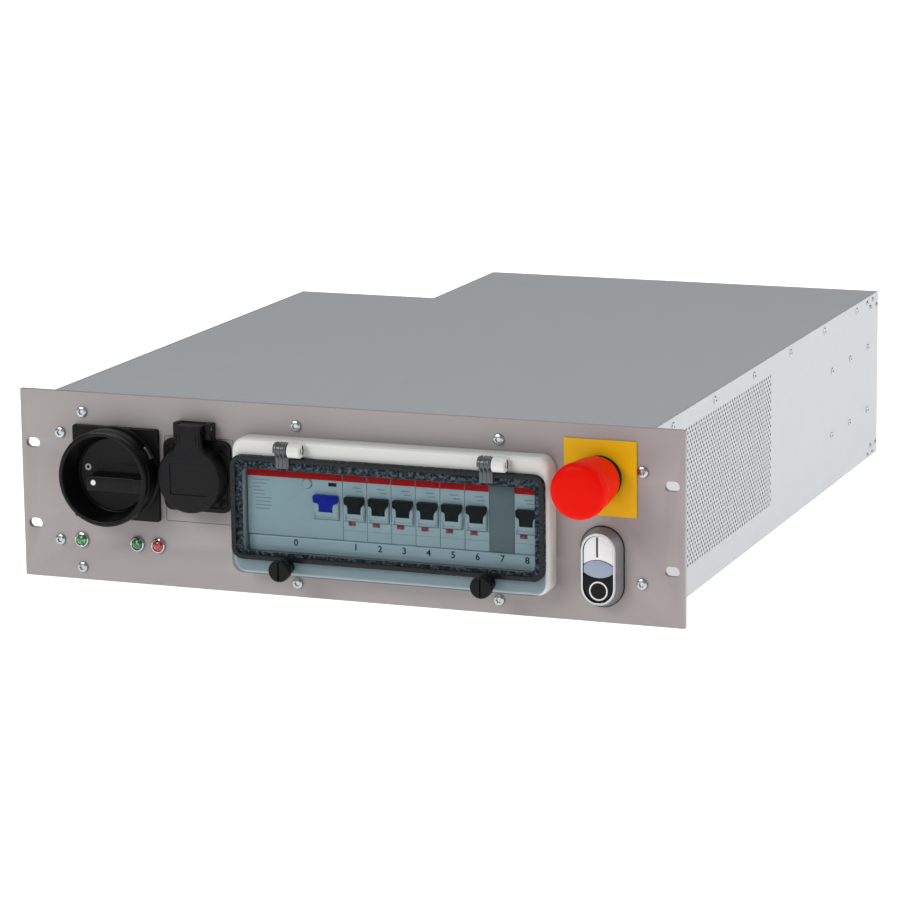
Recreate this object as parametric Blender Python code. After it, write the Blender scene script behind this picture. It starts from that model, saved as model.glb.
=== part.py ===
"""19-inch rack power distribution unit, 3 units high, as separate pieces.

The pieces are placed in the front panel's own frame: X to the right from the panel's middle,
Y to the rear from its front face, Z up from its lower edge. One empty then moves the whole unit,
so that the world's origin lies under the middle of it. Widths across the panel form one chain,
from the left margin to the right, and heights are counted from the panel's middle line.
"""
import math

import bmesh
import bpy
from mathutils import Matrix, Vector

MM = 0.001
GAP = 0.3 * MM                      # left between any two pieces that touch

# Sheet metal
PANEL_HEIGHT = 132.55 * MM          # three rack units less the usual clearance
PANEL_THICKNESS = 4.0 * MM
EAR_WIDTH = 22.3 * MM               # what each end of the panel stands out past the chassis
RACK_SLOT_WIDTH = 10.3 * MM
RACK_SLOT_HEIGHT = 6.8 * MM
RACK_SLOT_INSET = 8.75 * MM         # slot centre to the panel's end
RACK_SLOT_PITCH = 57.15 * MM
SHEET = 1.5 * MM
CHASSIS_DEPTH = 580.0 * MM
CHASSIS_FOOT = 1.6 * MM             # underside of the tray above the panel's lower edge
CHASSIS_HEAD = 1.25 * MM            # top of the cover below the panel's upper edge
NOTCH_WIDTH = 112.0 * MM            # cut out of the rear left corner
NOTCH_DEPTH = 135.0 * MM
TOP_RAIL_DEPTH = 12.0 * MM
REAR_FLANGE = 14.0 * MM

# Chain across the front panel, from left to right
LEFT_MARGIN = 17.6 * MM
SWITCH_SOCKET_SPACE = 3.1 * MM
SOCKET_WINDOW_SPACE = 6.3 * MM
WINDOW_STOP_SPACE = 5.8 * MM
RIGHT_MARGIN = 10.4 * MM

# Main switch
SWITCH_PLATE = 65.0 * MM
SWITCH_PLATE_THICKNESS = 3.0 * MM
SWITCH_ABOVE_MIDDLE = 11.5 * MM
KNOB_RADIUS = 33.5 * MM
KNOB_HEIGHT = 12.7 * MM             # of the flange in front of the collar
KNOB_WALL = 3.6 * MM                # at the rim
KNOB_TAPER = 2.9 * MM               # the cup's wall leans in by this down to its floor
KNOB_FLOOR = 2.2 * MM
COLLAR_INSET = 1.5 * MM             # collar inside the knob's flange
COLLAR_WALL = 1.6 * MM
COLLAR_HEIGHT = 8.7 * MM
GRIP_HEIGHT = 10.6 * MM
GRIP_BELOW_AXIS = 3.6 * MM          # the grip's middle
GRIP_REACH = 13.0 * MM              # its free end from the axis
GRIP_DROP = 2.0 * MM                # the grip's front below the rim
GRIP_STEP = 22.6 * MM               # from the axis, where it steps up to the rim
GRIP_STEP_DROP = 0.5 * MM
SHAFT_SIDE = 6.0 * MM
SHAFT_PLAY = 0.5 * MM
SHAFT_REACH = 14.0 * MM             # into the switch body
SWITCH_BODY_DEPTH = 56.0 * MM
SWITCH_BODY_INSET = 5.0 * MM

# Service socket
FLANGE_SIDE = 50.0 * MM
FLANGE_THICKNESS = 3.0 * MM
FLANGE_CORNER = 6.0 * MM
SOCKET_ABOVE_MIDDLE = 13.9 * MM
WELL_RADIUS = 19.5 * MM
WELL_DEPTH = 18.0 * MM              # behind the collar's front edge
WELL_WALL = 2.0 * MM
WELL_FLOOR = 2.5 * MM
SOCKET_COLLAR_HEIGHT = 4.5 * MM
SOCKET_HOLE_PLAY = 0.5 * MM
LID_RADIUS = 23.5 * MM
LID_THICKNESS = 9.4 * MM
LID_POCKET = 2.5 * MM
LID_POCKET_WALL = 2.5 * MM
LID_FIELD_WIDTH = 28.0 * MM
LID_FIELD_HEIGHT = 22.0 * MM
LID_FIELD_DEPTH = 0.8 * MM
LID_NECK_WIDTH = 18.5 * MM
LID_NECK_THICKNESS = 4.0 * MM
LID_NECK_STRAIGHT = 8.2 * MM        # parallel sides below the axis
LID_SHOULDER = math.radians(50)     # where the neck meets the round lid
LID_WAIST_FLARE = 1.0 * MM
LID_WAIST_RISE = 2.4 * MM
LID_AXIS_ABOVE = 34.0 * MM          # over the lid's centre
LID_BARREL_RADIUS = 3.4 * MM
LID_EAR_THICKNESS = 4.0 * MM
LID_PIN_RADIUS = 1.2 * MM
PIN_PLAY = 0.1 * MM

# Breakers
MODULE = 17.5 * MM
RCD_MODULES = 4
BREAKERS = 6
NOSE_HEIGHT = 45.0 * MM
NOSE_FRONT = 9.0 * MM               # in front of the panel's face
NOSE_CLEARANCE = 1.0 * MM
BODY_HEIGHT = 85.0 * MM
SHOULDER_DEPTH = 6.5 * MM           # shoulders behind the panel's front face
BODY_DEPTH = 51.0 * MM
ROW_ABOVE_MIDDLE = 0.6 * MM
LEVER_AXIS_DEPTH = 1.0 * MM
LEVER_AXIS_BELOW = 2.0 * MM         # under the row's middle
DRUM_RADIUS = 12.0 * MM
DRUM_PLAY = 0.4 * MM
DRUM_WIDTH = 14.6 * MM              # the head is as wide
STEM_WIDTH = 10.0 * MM
HEAD_HEIGHT = 5.1 * MM
STEM_HEIGHT = 6.6 * MM              # below the head
STEM_OVERLAP = 1.3 * MM             # up into the head
LEVER_RISE = 10.0 * MM              # top of the head over its axis
LEVER_REACH = 13.6 * MM             # front of the head from its axis
LEVER_STEP = 1.5 * MM               # the stem's face behind the head's
HEAD_DEPTH = 3.4 * MM
RCD_DRUM_WIDTH = 18.4 * MM
RCD_STEM_WIDTH = 10.5 * MM
RCD_LEVER_INSET = 11.9 * MM          # lever centre to the body's right side
TEST_BUTTON_RADIUS = 3.4 * MM
TEST_BUTTON_HEIGHT = 1.2 * MM
TEST_BUTTON_WELL = 4.5 * MM
TEST_BUTTON_TRAVEL = 1.5 * MM
TEST_BUTTON_INSET = 25.8 * MM       # from the body's right side
TEST_BUTTON_DROP = 7.6 * MM         # from the nose's top
BUTTON_PLAY = 0.3 * MM
LABEL_HEIGHT = 11.0 * MM
LABEL_FRONT = 8.5 * MM

# DIN rail
RAIL_HEIGHT = 35.0 * MM
RAIL_CROWN = 25.0 * MM
RAIL_DEPTH = 7.5 * MM
RAIL_SHEET = 1.0 * MM
RAIL_OVERHANG = 5.0 * MM
BRACKET_WIDTH = 25.0 * MM
BRACKET_SHEET = 3.0 * MM
BRACKET_FOOT = 30.0 * MM
BRACKET_INSET = 20.0 * MM

# Window
HOUSING_SIDE = 8.75 * MM            # housing beside the row of modules
HOUSING_HEIGHT = 93.0 * MM
HOUSING_DEPTH = 15.0 * MM
HOUSING_CORNER = 9.0 * MM
HOUSING_BELOW_MIDDLE = 1.8 * MM
OPENING_SIDE_CLEARANCE = 1.2 * MM
OPENING_TOP_CLEARANCE = 5.0 * MM
PANE_THICKNESS = 2.0 * MM
PANE_CORNER = 8.0 * MM
PANE_LEFT_MARGIN = 0.5 * MM
PANE_RIGHT_MARGIN = 2.0 * MM
PANE_TOP_MARGIN = 10.5 * MM
PANE_BOTTOM_MARGIN = 0.8 * MM
GASKET_THICKNESS = 0.6 * MM
GASKET_SIDE = 7.5 * MM
GASKET_TOP = 9.5 * MM
GASKET_BOTTOM = 5.5 * MM
GASKET_SKIRT = 9.7 * MM             # pane left clear below the gasket
HINGE_SPACING = 146.0 * MM
HINGE_LEFT_INSET = 35.0 * MM        # left strap's left side from the housing's
HINGE_ABOVE_PANE = 5.8 * MM
HINGE_RADIUS = 5.0 * MM
HINGE_BORE_RADIUS = 2.1 * MM
HINGE_PIN_RADIUS = 1.8 * MM
HINGE_FOOT = 8.6 * MM               # height of the knuckle's foot
STRAP_WIDTH = 9.5 * MM
STRAP_THICKNESS = 2.2 * MM
STRAP_TONGUE = 13.0 * MM
KNUCKLE_WIDTH = 9.0 * MM
KNUCKLE_PLAY = 0.5 * MM
THUMB_RADIUS = 7.6 * MM
THUMB_HEAD = 5.0 * MM
THUMB_NECK_RADIUS = 5.5 * MM
THUMB_NECK = 9.8 * MM
THUMB_SHANK_RADIUS = 3.0 * MM
THUMB_SHANK = 8.0 * MM
THUMB_PLAY = 1.2 * MM
THUMB_SLOT = 1.2 * MM
THUMB_LEFT_INSET = 41.0 * MM
THUMB_SPACING = 144.7 * MM
THUMB_ABOVE_HOUSING = 7.3 * MM

# Emergency stop
STOP_PLATE_WIDTH = 50.3 * MM
STOP_PLATE_HEIGHT = 51.0 * MM
STOP_PLATE_THICKNESS = 0.8 * MM
STOP_ABOVE_MIDDLE = 31.5 * MM
BARREL_RADIUS = 11.0 * MM
BARREL_PLAY = 0.3 * MM
STOP_COLLAR_RADIUS = 15.2 * MM
STOP_COLLAR_HEIGHT = 1.5 * MM
STOP_SLEEVE_RADIUS = 12.0 * MM
STOP_SLEEVE_HEIGHT = 6.6 * MM
STOP_SKIRT_RADIUS = 15.3 * MM
STOP_SKIRT_WALL = 2.8 * MM
STOP_WAIST_RADIUS = 17.2 * MM
STOP_WAIST_REACH = 16.1 * MM        # in front of the panel's face
STOP_NECK_RADIUS = 18.0 * MM
STOP_CAP_RADIUS = 19.0 * MM
STOP_REACH = 50.0 * MM              # front of the mushroom
STOP_CAP_HEIGHT = 12.0 * MM
STOP_CAP_LIP = 0.8 * MM
STOP_DOME = 2.5 * MM
STOP_TRAVEL = 3.0 * MM
STOP_STEM_RADIUS = 5.0 * MM
STOP_BORE_RADIUS = 5.5 * MM
STOP_STEM_REACH = 2.0 * MM          # behind the panel's front face
BLOCK_WIDTH = 30.0 * MM
BLOCK_HEIGHT = 42.0 * MM
BLOCK_DEPTH = 48.0 * MM

# Double pushbutton
BUTTON_WIDTH = 29.6 * MM
BUTTON_HEIGHT = 54.0 * MM
BUTTON_FRONT = 10.0 * MM
BUTTON_TAPER = 2.8 * MM            # each side, from base to front
BUTTON_RIM = 4.2 * MM               # at the base
BUTTON_POCKET = 8.0 * MM
BUTTON_STOP_SPACE = 7.2 * MM        # below the emergency stop's plate
BUTTON_OFFSET = 1.3 * MM            # to the right of the plate's middle
KEY_THICKNESS = 4.2 * MM
KEY_TRAVEL = 3.0 * MM
KEY_RECESS = 0.6 * MM
LENS_EDGE = 5.0 * MM
LENS_RISE = 3.5 * MM

# Lamps
LAMP_RADIUS = 5.3 * MM
LAMP_RIM_RADIUS = 3.9 * MM
LAMP_HEIGHT = 1.8 * MM
LAMP_DOME = 1.2 * MM
LAMP_BARREL_RADIUS = 3.7 * MM
LAMP_BARREL = 22.0 * MM
LAMP_BELOW_MIDDLE = 38.0 * MM
LAMP_INSETS = {                     # from the chassis's left side
    "lamp_supply": 22.4 * MM,
    "lamp_power": 65.0 * MM,
    "lamp_error": 80.8 * MM,
}

# Rear and inside
OUTLETS = 6
OUTLET_PITCH = 32.0 * MM
OUTLET_WIDTH = 22.0 * MM
OUTLET_HEIGHT = 15.0 * MM
OUTLET_GROOVE = 2.8 * MM
OUTLET_GROOVE_DEPTH = 12.0 * MM
STRIP_FLANGE = 2.4 * MM
STRIP_MARGIN = 8.0 * MM
STRIP_HEIGHT = 44.0 * MM
STRIP_LIP = 4.0 * MM
STRIP_BODY_DEPTH = 20.0 * MM
STRIP_SIDE_MARGIN = 30.0 * MM       # from the notch to the outlet strip
GLAND_RADIUS = 13.0 * MM
GLAND_NUT_REACH = 8.0 * MM
GLAND_DOME_REACH = 22.0 * MM
GLAND_DOME_RADIUS = 10.5 * MM
GLAND_BORE = 6.5 * MM
GLAND_TIP = 2.2 * MM                # chamfered end
GLAND_THREAD_RADIUS = 10.0 * MM
GLAND_THREAD_REACH = 12.0 * MM
CONTACTOR_SIZE = Vector((45.0, 78.0, 74.0)) * MM
CONTACTOR_STEP = 16.0 * MM
CONTACTOR_BEHIND_ROW = 120.0 * MM
TERMINALS = 12
TERMINAL_PITCH = 8.0 * MM
TERMINAL_BASE = Vector((0.0, 40.0, 12.0)) * MM
TERMINAL_HEIGHT = 34.0 * MM
TERMINAL_GAP = 1.5 * MM
TERMINAL_BEHIND_PANEL = 330.0 * MM

ROUND = 32                          # sides of large round pieces
SMALL_ROUND = 20

# Places that follow from the sizes above
MIDDLE = PANEL_HEIGHT / 2
SWITCH_CELL = max(SWITCH_PLATE, 2 * KNOB_RADIUS)
SOCKET_CELL = max(FLANGE_SIDE, 2 * LID_RADIUS)
ROW_WIDTH = MODULE * (RCD_MODULES + BREAKERS + 2)
HOUSING_WIDTH = ROW_WIDTH + 2 * HOUSING_SIDE
CHASSIS_WIDTH = (LEFT_MARGIN + SWITCH_CELL + SWITCH_SOCKET_SPACE + SOCKET_CELL
                 + SOCKET_WINDOW_SPACE + HOUSING_WIDTH + WINDOW_STOP_SPACE
                 + STOP_PLATE_WIDTH + RIGHT_MARGIN)
PANEL_WIDTH = CHASSIS_WIDTH + 2 * EAR_WIDTH
LEFT = -CHASSIS_WIDTH / 2
RIGHT = CHASSIS_WIDTH / 2
SWITCH_X = LEFT + LEFT_MARGIN + SWITCH_CELL / 2
SWITCH_Z = MIDDLE + SWITCH_ABOVE_MIDDLE
SOCKET_X = SWITCH_X + SWITCH_CELL / 2 + SWITCH_SOCKET_SPACE + SOCKET_CELL / 2
SOCKET_Z = MIDDLE + SOCKET_ABOVE_MIDDLE
HOUSING_LEFT = SOCKET_X + SOCKET_CELL / 2 + SOCKET_WINDOW_SPACE
HOUSING_RIGHT = HOUSING_LEFT + HOUSING_WIDTH
HOUSING_BOTTOM = MIDDLE - HOUSING_BELOW_MIDDLE - HOUSING_HEIGHT / 2
HOUSING_TOP = HOUSING_BOTTOM + HOUSING_HEIGHT
ROW_LEFT = HOUSING_LEFT + HOUSING_SIDE
ROW_RIGHT = ROW_LEFT + ROW_WIDTH
ROW_Z = MIDDLE + ROW_ABOVE_MIDDLE
NOSE_BOTTOM = ROW_Z - NOSE_HEIGHT / 2
NOSE_TOP = ROW_Z + NOSE_HEIGHT / 2
LABEL_BOTTOM = NOSE_BOTTOM - 2 * GAP - LABEL_HEIGHT
STOP_X = HOUSING_RIGHT + WINDOW_STOP_SPACE + STOP_PLATE_WIDTH / 2
STOP_Z = MIDDLE + STOP_ABOVE_MIDDLE
BUTTON_X = STOP_X + BUTTON_OFFSET
BUTTON_Z = STOP_Z - STOP_PLATE_HEIGHT / 2 - BUTTON_STOP_SPACE - BUTTON_HEIGHT / 2
BEHIND_PANEL = PANEL_THICKNESS + GAP
FLOOR = CHASSIS_FOOT + SHEET
COVER_TOP = PANEL_HEIGHT - CHASSIS_HEAD
COVER_UNDER = COVER_TOP - SHEET
INNER_LEFT = LEFT + SHEET + GAP
INNER_RIGHT = RIGHT - SHEET - GAP
NOTCH_X = LEFT + NOTCH_WIDTH
NOTCH_Y = CHASSIS_DEPTH - NOTCH_DEPTH
PANE_LEFT = HOUSING_LEFT + PANE_LEFT_MARGIN
PANE_RIGHT = HOUSING_RIGHT - PANE_RIGHT_MARGIN
PANE_TOP = HOUSING_TOP - PANE_TOP_MARGIN
PANE_BOTTOM = HOUSING_BOTTOM + PANE_BOTTOM_MARGIN
GASKET_FRONT = HOUSING_DEPTH + GAP + GASKET_THICKNESS
PANE_BACK = GASKET_FRONT + GAP
PANE_FRONT = PANE_BACK + PANE_THICKNESS
HINGE_Y = -(HOUSING_DEPTH + 2 * GAP + HINGE_RADIUS)
HINGE_Z = PANE_TOP + HINGE_ABOVE_PANE
HINGE_LEFTS = (HOUSING_LEFT + HINGE_LEFT_INSET, HOUSING_LEFT + HINGE_LEFT_INSET + HINGE_SPACING)
THUMB_XS = (HOUSING_LEFT + THUMB_LEFT_INSET, HOUSING_LEFT + THUMB_LEFT_INSET + THUMB_SPACING)
THUMB_Z = HOUSING_BOTTOM + THUMB_ABOVE_HOUSING
LEVER_Z = ROW_Z - LEVER_AXIS_BELOW
REAR_REACH = CHASSIS_DEPTH + GAP + STRIP_FLANGE
UNIT_SHIFT = (STOP_REACH - REAR_REACH) / 2


# Shapes, each a closed bmesh in the panel's frame

def block(x_range, y_range, z_range):
    shape = bmesh.new()
    bmesh.ops.create_cube(shape, size=1.0)
    low = Vector((min(x_range), min(y_range), min(z_range)))
    high = Vector((max(x_range), max(y_range), max(z_range)))
    bmesh.ops.scale(shape, vec=high - low, verts=shape.verts)
    bmesh.ops.translate(shape, vec=(low + high) / 2, verts=shape.verts)
    return shape


def prism(outline, start, end, axis="Y"):
    """A flat outline extruded along an axis; its points are (x, z) along Y and (y, z) along X."""
    shape = bmesh.new()
    if axis == "Y":
        corners = [shape.verts.new((a, start, b)) for a, b in outline]
        travel = Vector((0, end - start, 0))
    else:
        corners = [shape.verts.new((start, a, b)) for a, b in outline]
        travel = Vector((end - start, 0, 0))
    face = shape.faces.new(corners)
    swept = bmesh.ops.extrude_face_region(shape, geom=[face])["geom"]
    moved = [item for item in swept if isinstance(item, bmesh.types.BMVert)]
    bmesh.ops.translate(shape, vec=travel, verts=moved)
    bmesh.ops.recalc_face_normals(shape, faces=shape.faces)
    return shape


def tapered(outline, start, end_outline, end):
    """Between two flat outlines with as many points, at two places along Y."""
    shape = bmesh.new()
    base = [shape.verts.new((x, start, z)) for x, z in outline]
    tip = [shape.verts.new((x, end, z)) for x, z in end_outline]
    shape.faces.new(base)
    shape.faces.new(tip)
    for index, corner in enumerate(base):
        shape.faces.new((base[index - 1], corner, tip[index], tip[index - 1]))
    bmesh.ops.recalc_face_normals(shape, faces=shape.faces)
    return shape


def turned(profile, centre_x, centre_z, sides=ROUND):
    """A closed profile of (radius, y) points turned about an axis along Y."""
    shape = bmesh.new()
    points = [shape.verts.new((centre_x + radius, y, centre_z)) for radius, y in profile]
    edges = [shape.edges.new(pair) for pair in zip(points, points[1:])]
    if profile[0][0] > 0 and profile[-1][0] > 0:
        edges.append(shape.edges.new((points[-1], points[0])))
    bmesh.ops.spin(shape, geom=points + edges, cent=(centre_x, 0, centre_z), axis=(0, 1, 0),
                   angle=math.tau, steps=sides, use_merge=True)
    bmesh.ops.remove_doubles(shape, verts=shape.verts, dist=0.001 * MM)
    bmesh.ops.recalc_face_normals(shape, faces=shape.faces)
    return shape


def bar(radius, length, turn_axis, centre, sides):
    """A round bar, turned from Z by a quarter turn about turn_axis."""
    shape = bmesh.new()
    bmesh.ops.create_cone(shape, cap_ends=True, segments=sides, radius1=radius, radius2=radius,
                          depth=length)
    bmesh.ops.rotate(shape, matrix=Matrix.Rotation(math.pi / 2, 3, turn_axis), verts=shape.verts)
    bmesh.ops.translate(shape, vec=centre, verts=shape.verts)
    return shape


def rod(radius, y_range, centre_x, centre_z, sides=ROUND):
    """A round bar along Y."""
    return bar(radius, y_range[1] - y_range[0], "X", (centre_x, sum(y_range) / 2, centre_z), sides)


def cross_rod(radius, x_range, centre_y, centre_z, sides=SMALL_ROUND):
    """A round bar along X."""
    return bar(radius, x_range[1] - x_range[0], "Y", (sum(x_range) / 2, centre_y, centre_z), sides)


def rounded(x_range, z_range, radius, steps=5):
    """Outline of a rectangle with round corners."""
    x_low, x_high = x_range
    z_low, z_high = z_range
    corners = ((x_high - radius, z_high - radius, 0), (x_low + radius, z_high - radius, 90),
               (x_low + radius, z_low + radius, 180), (x_high - radius, z_low + radius, 270))
    outline = []
    for centre_x, centre_z, start in corners:
        for step in range(steps + 1):
            angle = math.radians(start + 90 * step / steps)
            point = (centre_x + radius * math.cos(angle), centre_z + radius * math.sin(angle))
            if not outline or math.dist(outline[-1], point) > 0.001 * MM:
                outline.append(point)
    if math.dist(outline[-1], outline[0]) < 0.001 * MM:
        outline.pop()
    return outline


def centred(middle, size):
    return (middle - size / 2, middle + size / 2)


def combine(base, tool, operation):
    """Join tool to base, cut it from it, or keep what they share, with an exact Boolean."""
    pieces = []
    for shape in (base, tool):
        mesh = bpy.data.meshes.new("work")
        shape.to_mesh(mesh)
        shape.free()
        pieces.append(bpy.data.objects.new("work", mesh))
        bpy.context.collection.objects.link(pieces[-1])
    modifier = pieces[0].modifiers.new("combine", "BOOLEAN")
    modifier.solver = "EXACT"
    modifier.operation = operation
    modifier.object = pieces[1]
    result = bmesh.new()
    result.from_object(pieces[0], bpy.context.evaluated_depsgraph_get())
    for piece in pieces:
        bpy.data.meshes.remove(piece.data)
    return result


def join(base, *others):
    for other in others:
        base = combine(base, other, "UNION")
    return base


def cut(base, *tools):
    for tool in tools:
        base = combine(base, tool, "DIFFERENCE")
    return base


# Objects, finishes and the empties on the joints' axes

FINISHES = {                        # colour, roughness, metallic
    "panel_grey": ((0.32, 0.30, 0.29), 0.5, 0.0),
    "sheet_grey": ((0.42, 0.44, 0.46), 0.45, 0.3),
    "housing_grey": ((0.56, 0.57, 0.57), 0.4, 0.0),
    "breaker_white": ((0.62, 0.64, 0.64), 0.45, 0.0),
    "blank_grey": ((0.22, 0.24, 0.24), 0.5, 0.0),
    "black_plastic": ((0.012, 0.012, 0.013), 0.35, 0.0),
    "soft_black": ((0.02, 0.02, 0.022), 0.7, 0.0),
    "blue_plastic": ((0.0, 0.01, 0.42), 0.3, 0.0),
    "signal_red": ((0.8, 0.01, 0.0), 0.3, 0.0),
    "signal_yellow": ((0.68, 0.42, 0.0), 0.45, 0.0),
    "bright_metal": ((0.62, 0.63, 0.64), 0.25, 1.0),
    "white_plastic": ((0.8, 0.8, 0.8), 0.3, 0.0),
    "lens_blue": ((0.3, 0.36, 0.5), 0.2, 0.0),
    "lens_green": ((0.02, 0.3, 0.06), 0.15, 0.0),
    "lens_red": ((0.6, 0.03, 0.02), 0.15, 0.0),
    "clear_pane": ((0.45, 0.6, 0.62), 0.08, 0.0),
    "smoky_plastic": ((0.08, 0.09, 0.09), 0.2, 0.0),
}
ANCHORS = {}


def finish(name):
    material = bpy.data.materials.get(name)
    if material is None:
        colour, roughness, metallic = FINISHES[name]
        material = bpy.data.materials.new(name)
        material.use_nodes = True
        shader = material.node_tree.nodes["Principled BSDF"]
        shader.inputs["Base Color"].default_value = (*colour, 1.0)
        shader.inputs["Roughness"].default_value = roughness
        shader.inputs["Metallic"].default_value = metallic
    return material


def anchor(name, place, parent=None):
    """An empty on a joint's axis, which its moving pieces hang from."""
    empty = bpy.data.objects.new(name, None)
    bpy.context.collection.objects.link(empty)
    ANCHORS[name] = Vector(place)
    if parent is None:
        empty.location = place
    else:
        empty.parent = bpy.data.objects[parent]
        empty.location = ANCHORS[name] - ANCHORS[parent]


def piece(name, shape, finish_name, parent="unit", place=None):
    """Make an object of a shape, with its own origin at place (its parent's, if none is given)."""
    centre = ANCHORS[parent] if place is None else Vector(place)
    bmesh.ops.translate(shape, vec=-centre, verts=shape.verts)
    mesh = bpy.data.meshes.new(name)
    shape.to_mesh(mesh)
    shape.free()
    mesh.shade_smooth()
    mesh.set_sharp_from_angle(angle=math.radians(30))
    mesh.materials.append(finish(finish_name))
    thing = bpy.data.objects.new(name, mesh)
    bpy.context.collection.objects.link(thing)
    thing.parent = bpy.data.objects[parent]
    thing.location = centre - ANCHORS[parent]
    return thing


# Sheet metal

def make_front_panel():
    panel = block(centred(0, PANEL_WIDTH), (0, PANEL_THICKNESS), (0, PANEL_HEIGHT))
    through = (-PANEL_THICKNESS, 2 * PANEL_THICKNESS)
    slot_x = PANEL_WIDTH / 2 - RACK_SLOT_INSET
    for x in (-slot_x, slot_x):
        for z in centred(MIDDLE, RACK_SLOT_PITCH):
            outline = rounded(centred(x, RACK_SLOT_WIDTH), centred(z, RACK_SLOT_HEIGHT),
                              RACK_SLOT_HEIGHT / 2)
            panel = cut(panel, prism(outline, *through))
    row_hole = block((ROW_LEFT - NOSE_CLEARANCE, ROW_RIGHT + NOSE_CLEARANCE), through,
                     (NOSE_BOTTOM - NOSE_CLEARANCE, NOSE_TOP + NOSE_CLEARANCE))
    shaft_hole = rod(SHAFT_SIDE, through, SWITCH_X, SWITCH_Z, SMALL_ROUND)
    socket_hole = rod(WELL_RADIUS + WELL_WALL + SOCKET_HOLE_PLAY, through, SOCKET_X, SOCKET_Z)
    stop_hole = rod(BARREL_RADIUS + BARREL_PLAY, through, STOP_X, STOP_Z)
    button_hole = rod(BARREL_RADIUS + BARREL_PLAY, through, BUTTON_X, BUTTON_Z)
    panel = cut(panel, row_hole, shaft_hole, socket_hole, stop_hole, button_hole)
    for inset in LAMP_INSETS.values():
        lamp_hole = rod(LAMP_BARREL_RADIUS + BARREL_PLAY, through, LEFT + inset,
                        MIDDLE - LAMP_BELOW_MIDDLE, SMALL_ROUND)
        panel = cut(panel, lamp_hole)
    piece("front_panel", panel, "panel_grey")


def notched_plate(front, z_range):
    """An L-shaped sheet inside the walls, from front to the rear panels."""
    plate = block((INNER_LEFT, INNER_RIGHT), (front, CHASSIS_DEPTH - SHEET - GAP), z_range)
    corner = block((LEFT, NOTCH_X + SHEET + GAP), (NOTCH_Y - SHEET - GAP, CHASSIS_DEPTH),
                   (z_range[0] - SHEET, z_range[1] + SHEET))
    return cut(plate, corner)


def make_chassis():
    wall_z = (CHASSIS_FOOT, COVER_TOP)
    piece("bottom_tray", notched_plate(BEHIND_PANEL, (CHASSIS_FOOT, FLOOR)), "sheet_grey")
    rail_back = BEHIND_PANEL + TOP_RAIL_DEPTH
    piece("front_top_rail", block((INNER_LEFT, INNER_RIGHT), (BEHIND_PANEL, rail_back),
                                  (COVER_UNDER, COVER_TOP)), "sheet_grey")
    cover = notched_plate(rail_back + GAP, (COVER_UNDER, COVER_TOP))
    rear_strip = block((NOTCH_X, RIGHT), (CHASSIS_DEPTH - REAR_FLANGE - GAP, CHASSIS_DEPTH),
                       (COVER_UNDER - SHEET, COVER_TOP + SHEET))
    piece("top_cover", cut(cover, rear_strip), "sheet_grey")
    piece("side_panel_left", block((LEFT, LEFT + SHEET), (BEHIND_PANEL, NOTCH_Y), wall_z),
          "sheet_grey")
    piece("side_panel_right", block((RIGHT - SHEET, RIGHT), (BEHIND_PANEL, CHASSIS_DEPTH), wall_z),
          "sheet_grey")
    piece("notch_side_panel", block((NOTCH_X, NOTCH_X + SHEET), (NOTCH_Y + GAP, CHASSIS_DEPTH),
                                    wall_z), "sheet_grey")
    gland_hole = rod(GLAND_THREAD_RADIUS + BARREL_PLAY, (NOTCH_Y - 2 * SHEET, NOTCH_Y + SHEET),
                     gland_x(), MIDDLE)
    notch_rear = block((INNER_LEFT, NOTCH_X + SHEET), (NOTCH_Y - SHEET, NOTCH_Y), wall_z)
    piece("notch_rear_panel", cut(notch_rear, gland_hole), "sheet_grey")
    profile = [(CHASSIS_DEPTH, CHASSIS_FOOT), (CHASSIS_DEPTH, COVER_TOP),
               (CHASSIS_DEPTH - REAR_FLANGE, COVER_TOP), (CHASSIS_DEPTH - REAR_FLANGE, COVER_UNDER),
               (CHASSIS_DEPTH - SHEET, COVER_UNDER), (CHASSIS_DEPTH - SHEET, CHASSIS_FOOT)]
    rear = prism(profile, NOTCH_X + SHEET + GAP, INNER_RIGHT, axis="X")
    strip_hole = block(*strip_body(BARREL_PLAY))
    piece("rear_panel", cut(rear, strip_hole), "sheet_grey")


def gland_x():
    return LEFT + NOTCH_WIDTH / 2


# Rear connections and the inside

def strip_x():
    return NOTCH_X + STRIP_SIDE_MARGIN + (OUTLETS * OUTLET_PITCH + 2 * STRIP_MARGIN) / 2


def strip_body(play=0.0):
    """The part of the outlet strip that goes through the rear panel."""
    half_width = OUTLETS * OUTLET_PITCH / 2 + STRIP_MARGIN - STRIP_LIP + play
    half_height = STRIP_HEIGHT / 2 - STRIP_LIP + play
    return ((strip_x() - half_width, strip_x() + half_width),
            (CHASSIS_DEPTH - STRIP_BODY_DEPTH, REAR_REACH - STRIP_FLANGE / 2),
            (MIDDLE - half_height, MIDDLE + half_height))


def make_outlet_strip():
    width = OUTLETS * OUTLET_PITCH + 2 * STRIP_MARGIN
    strip = join(block(centred(strip_x(), width), (CHASSIS_DEPTH + GAP, REAR_REACH),
                       centred(MIDDLE, STRIP_HEIGHT)), block(*strip_body()))
    groove_y = (REAR_REACH - OUTLET_GROOVE_DEPTH, REAR_REACH + GAP)
    for index in range(OUTLETS):
        x = strip_x() + (index - (OUTLETS - 1) / 2) * OUTLET_PITCH
        ring = block(centred(x, OUTLET_WIDTH + 2 * OUTLET_GROOVE), groove_y,
                     centred(MIDDLE, OUTLET_HEIGHT + 2 * OUTLET_GROOVE))
        core = block(centred(x, OUTLET_WIDTH), (groove_y[0] - GAP, groove_y[1] + GAP),
                     centred(MIDDLE, OUTLET_HEIGHT))
        strip = cut(strip, cut(ring, core))
    piece("outlet_strip", strip, "black_plastic")


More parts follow.
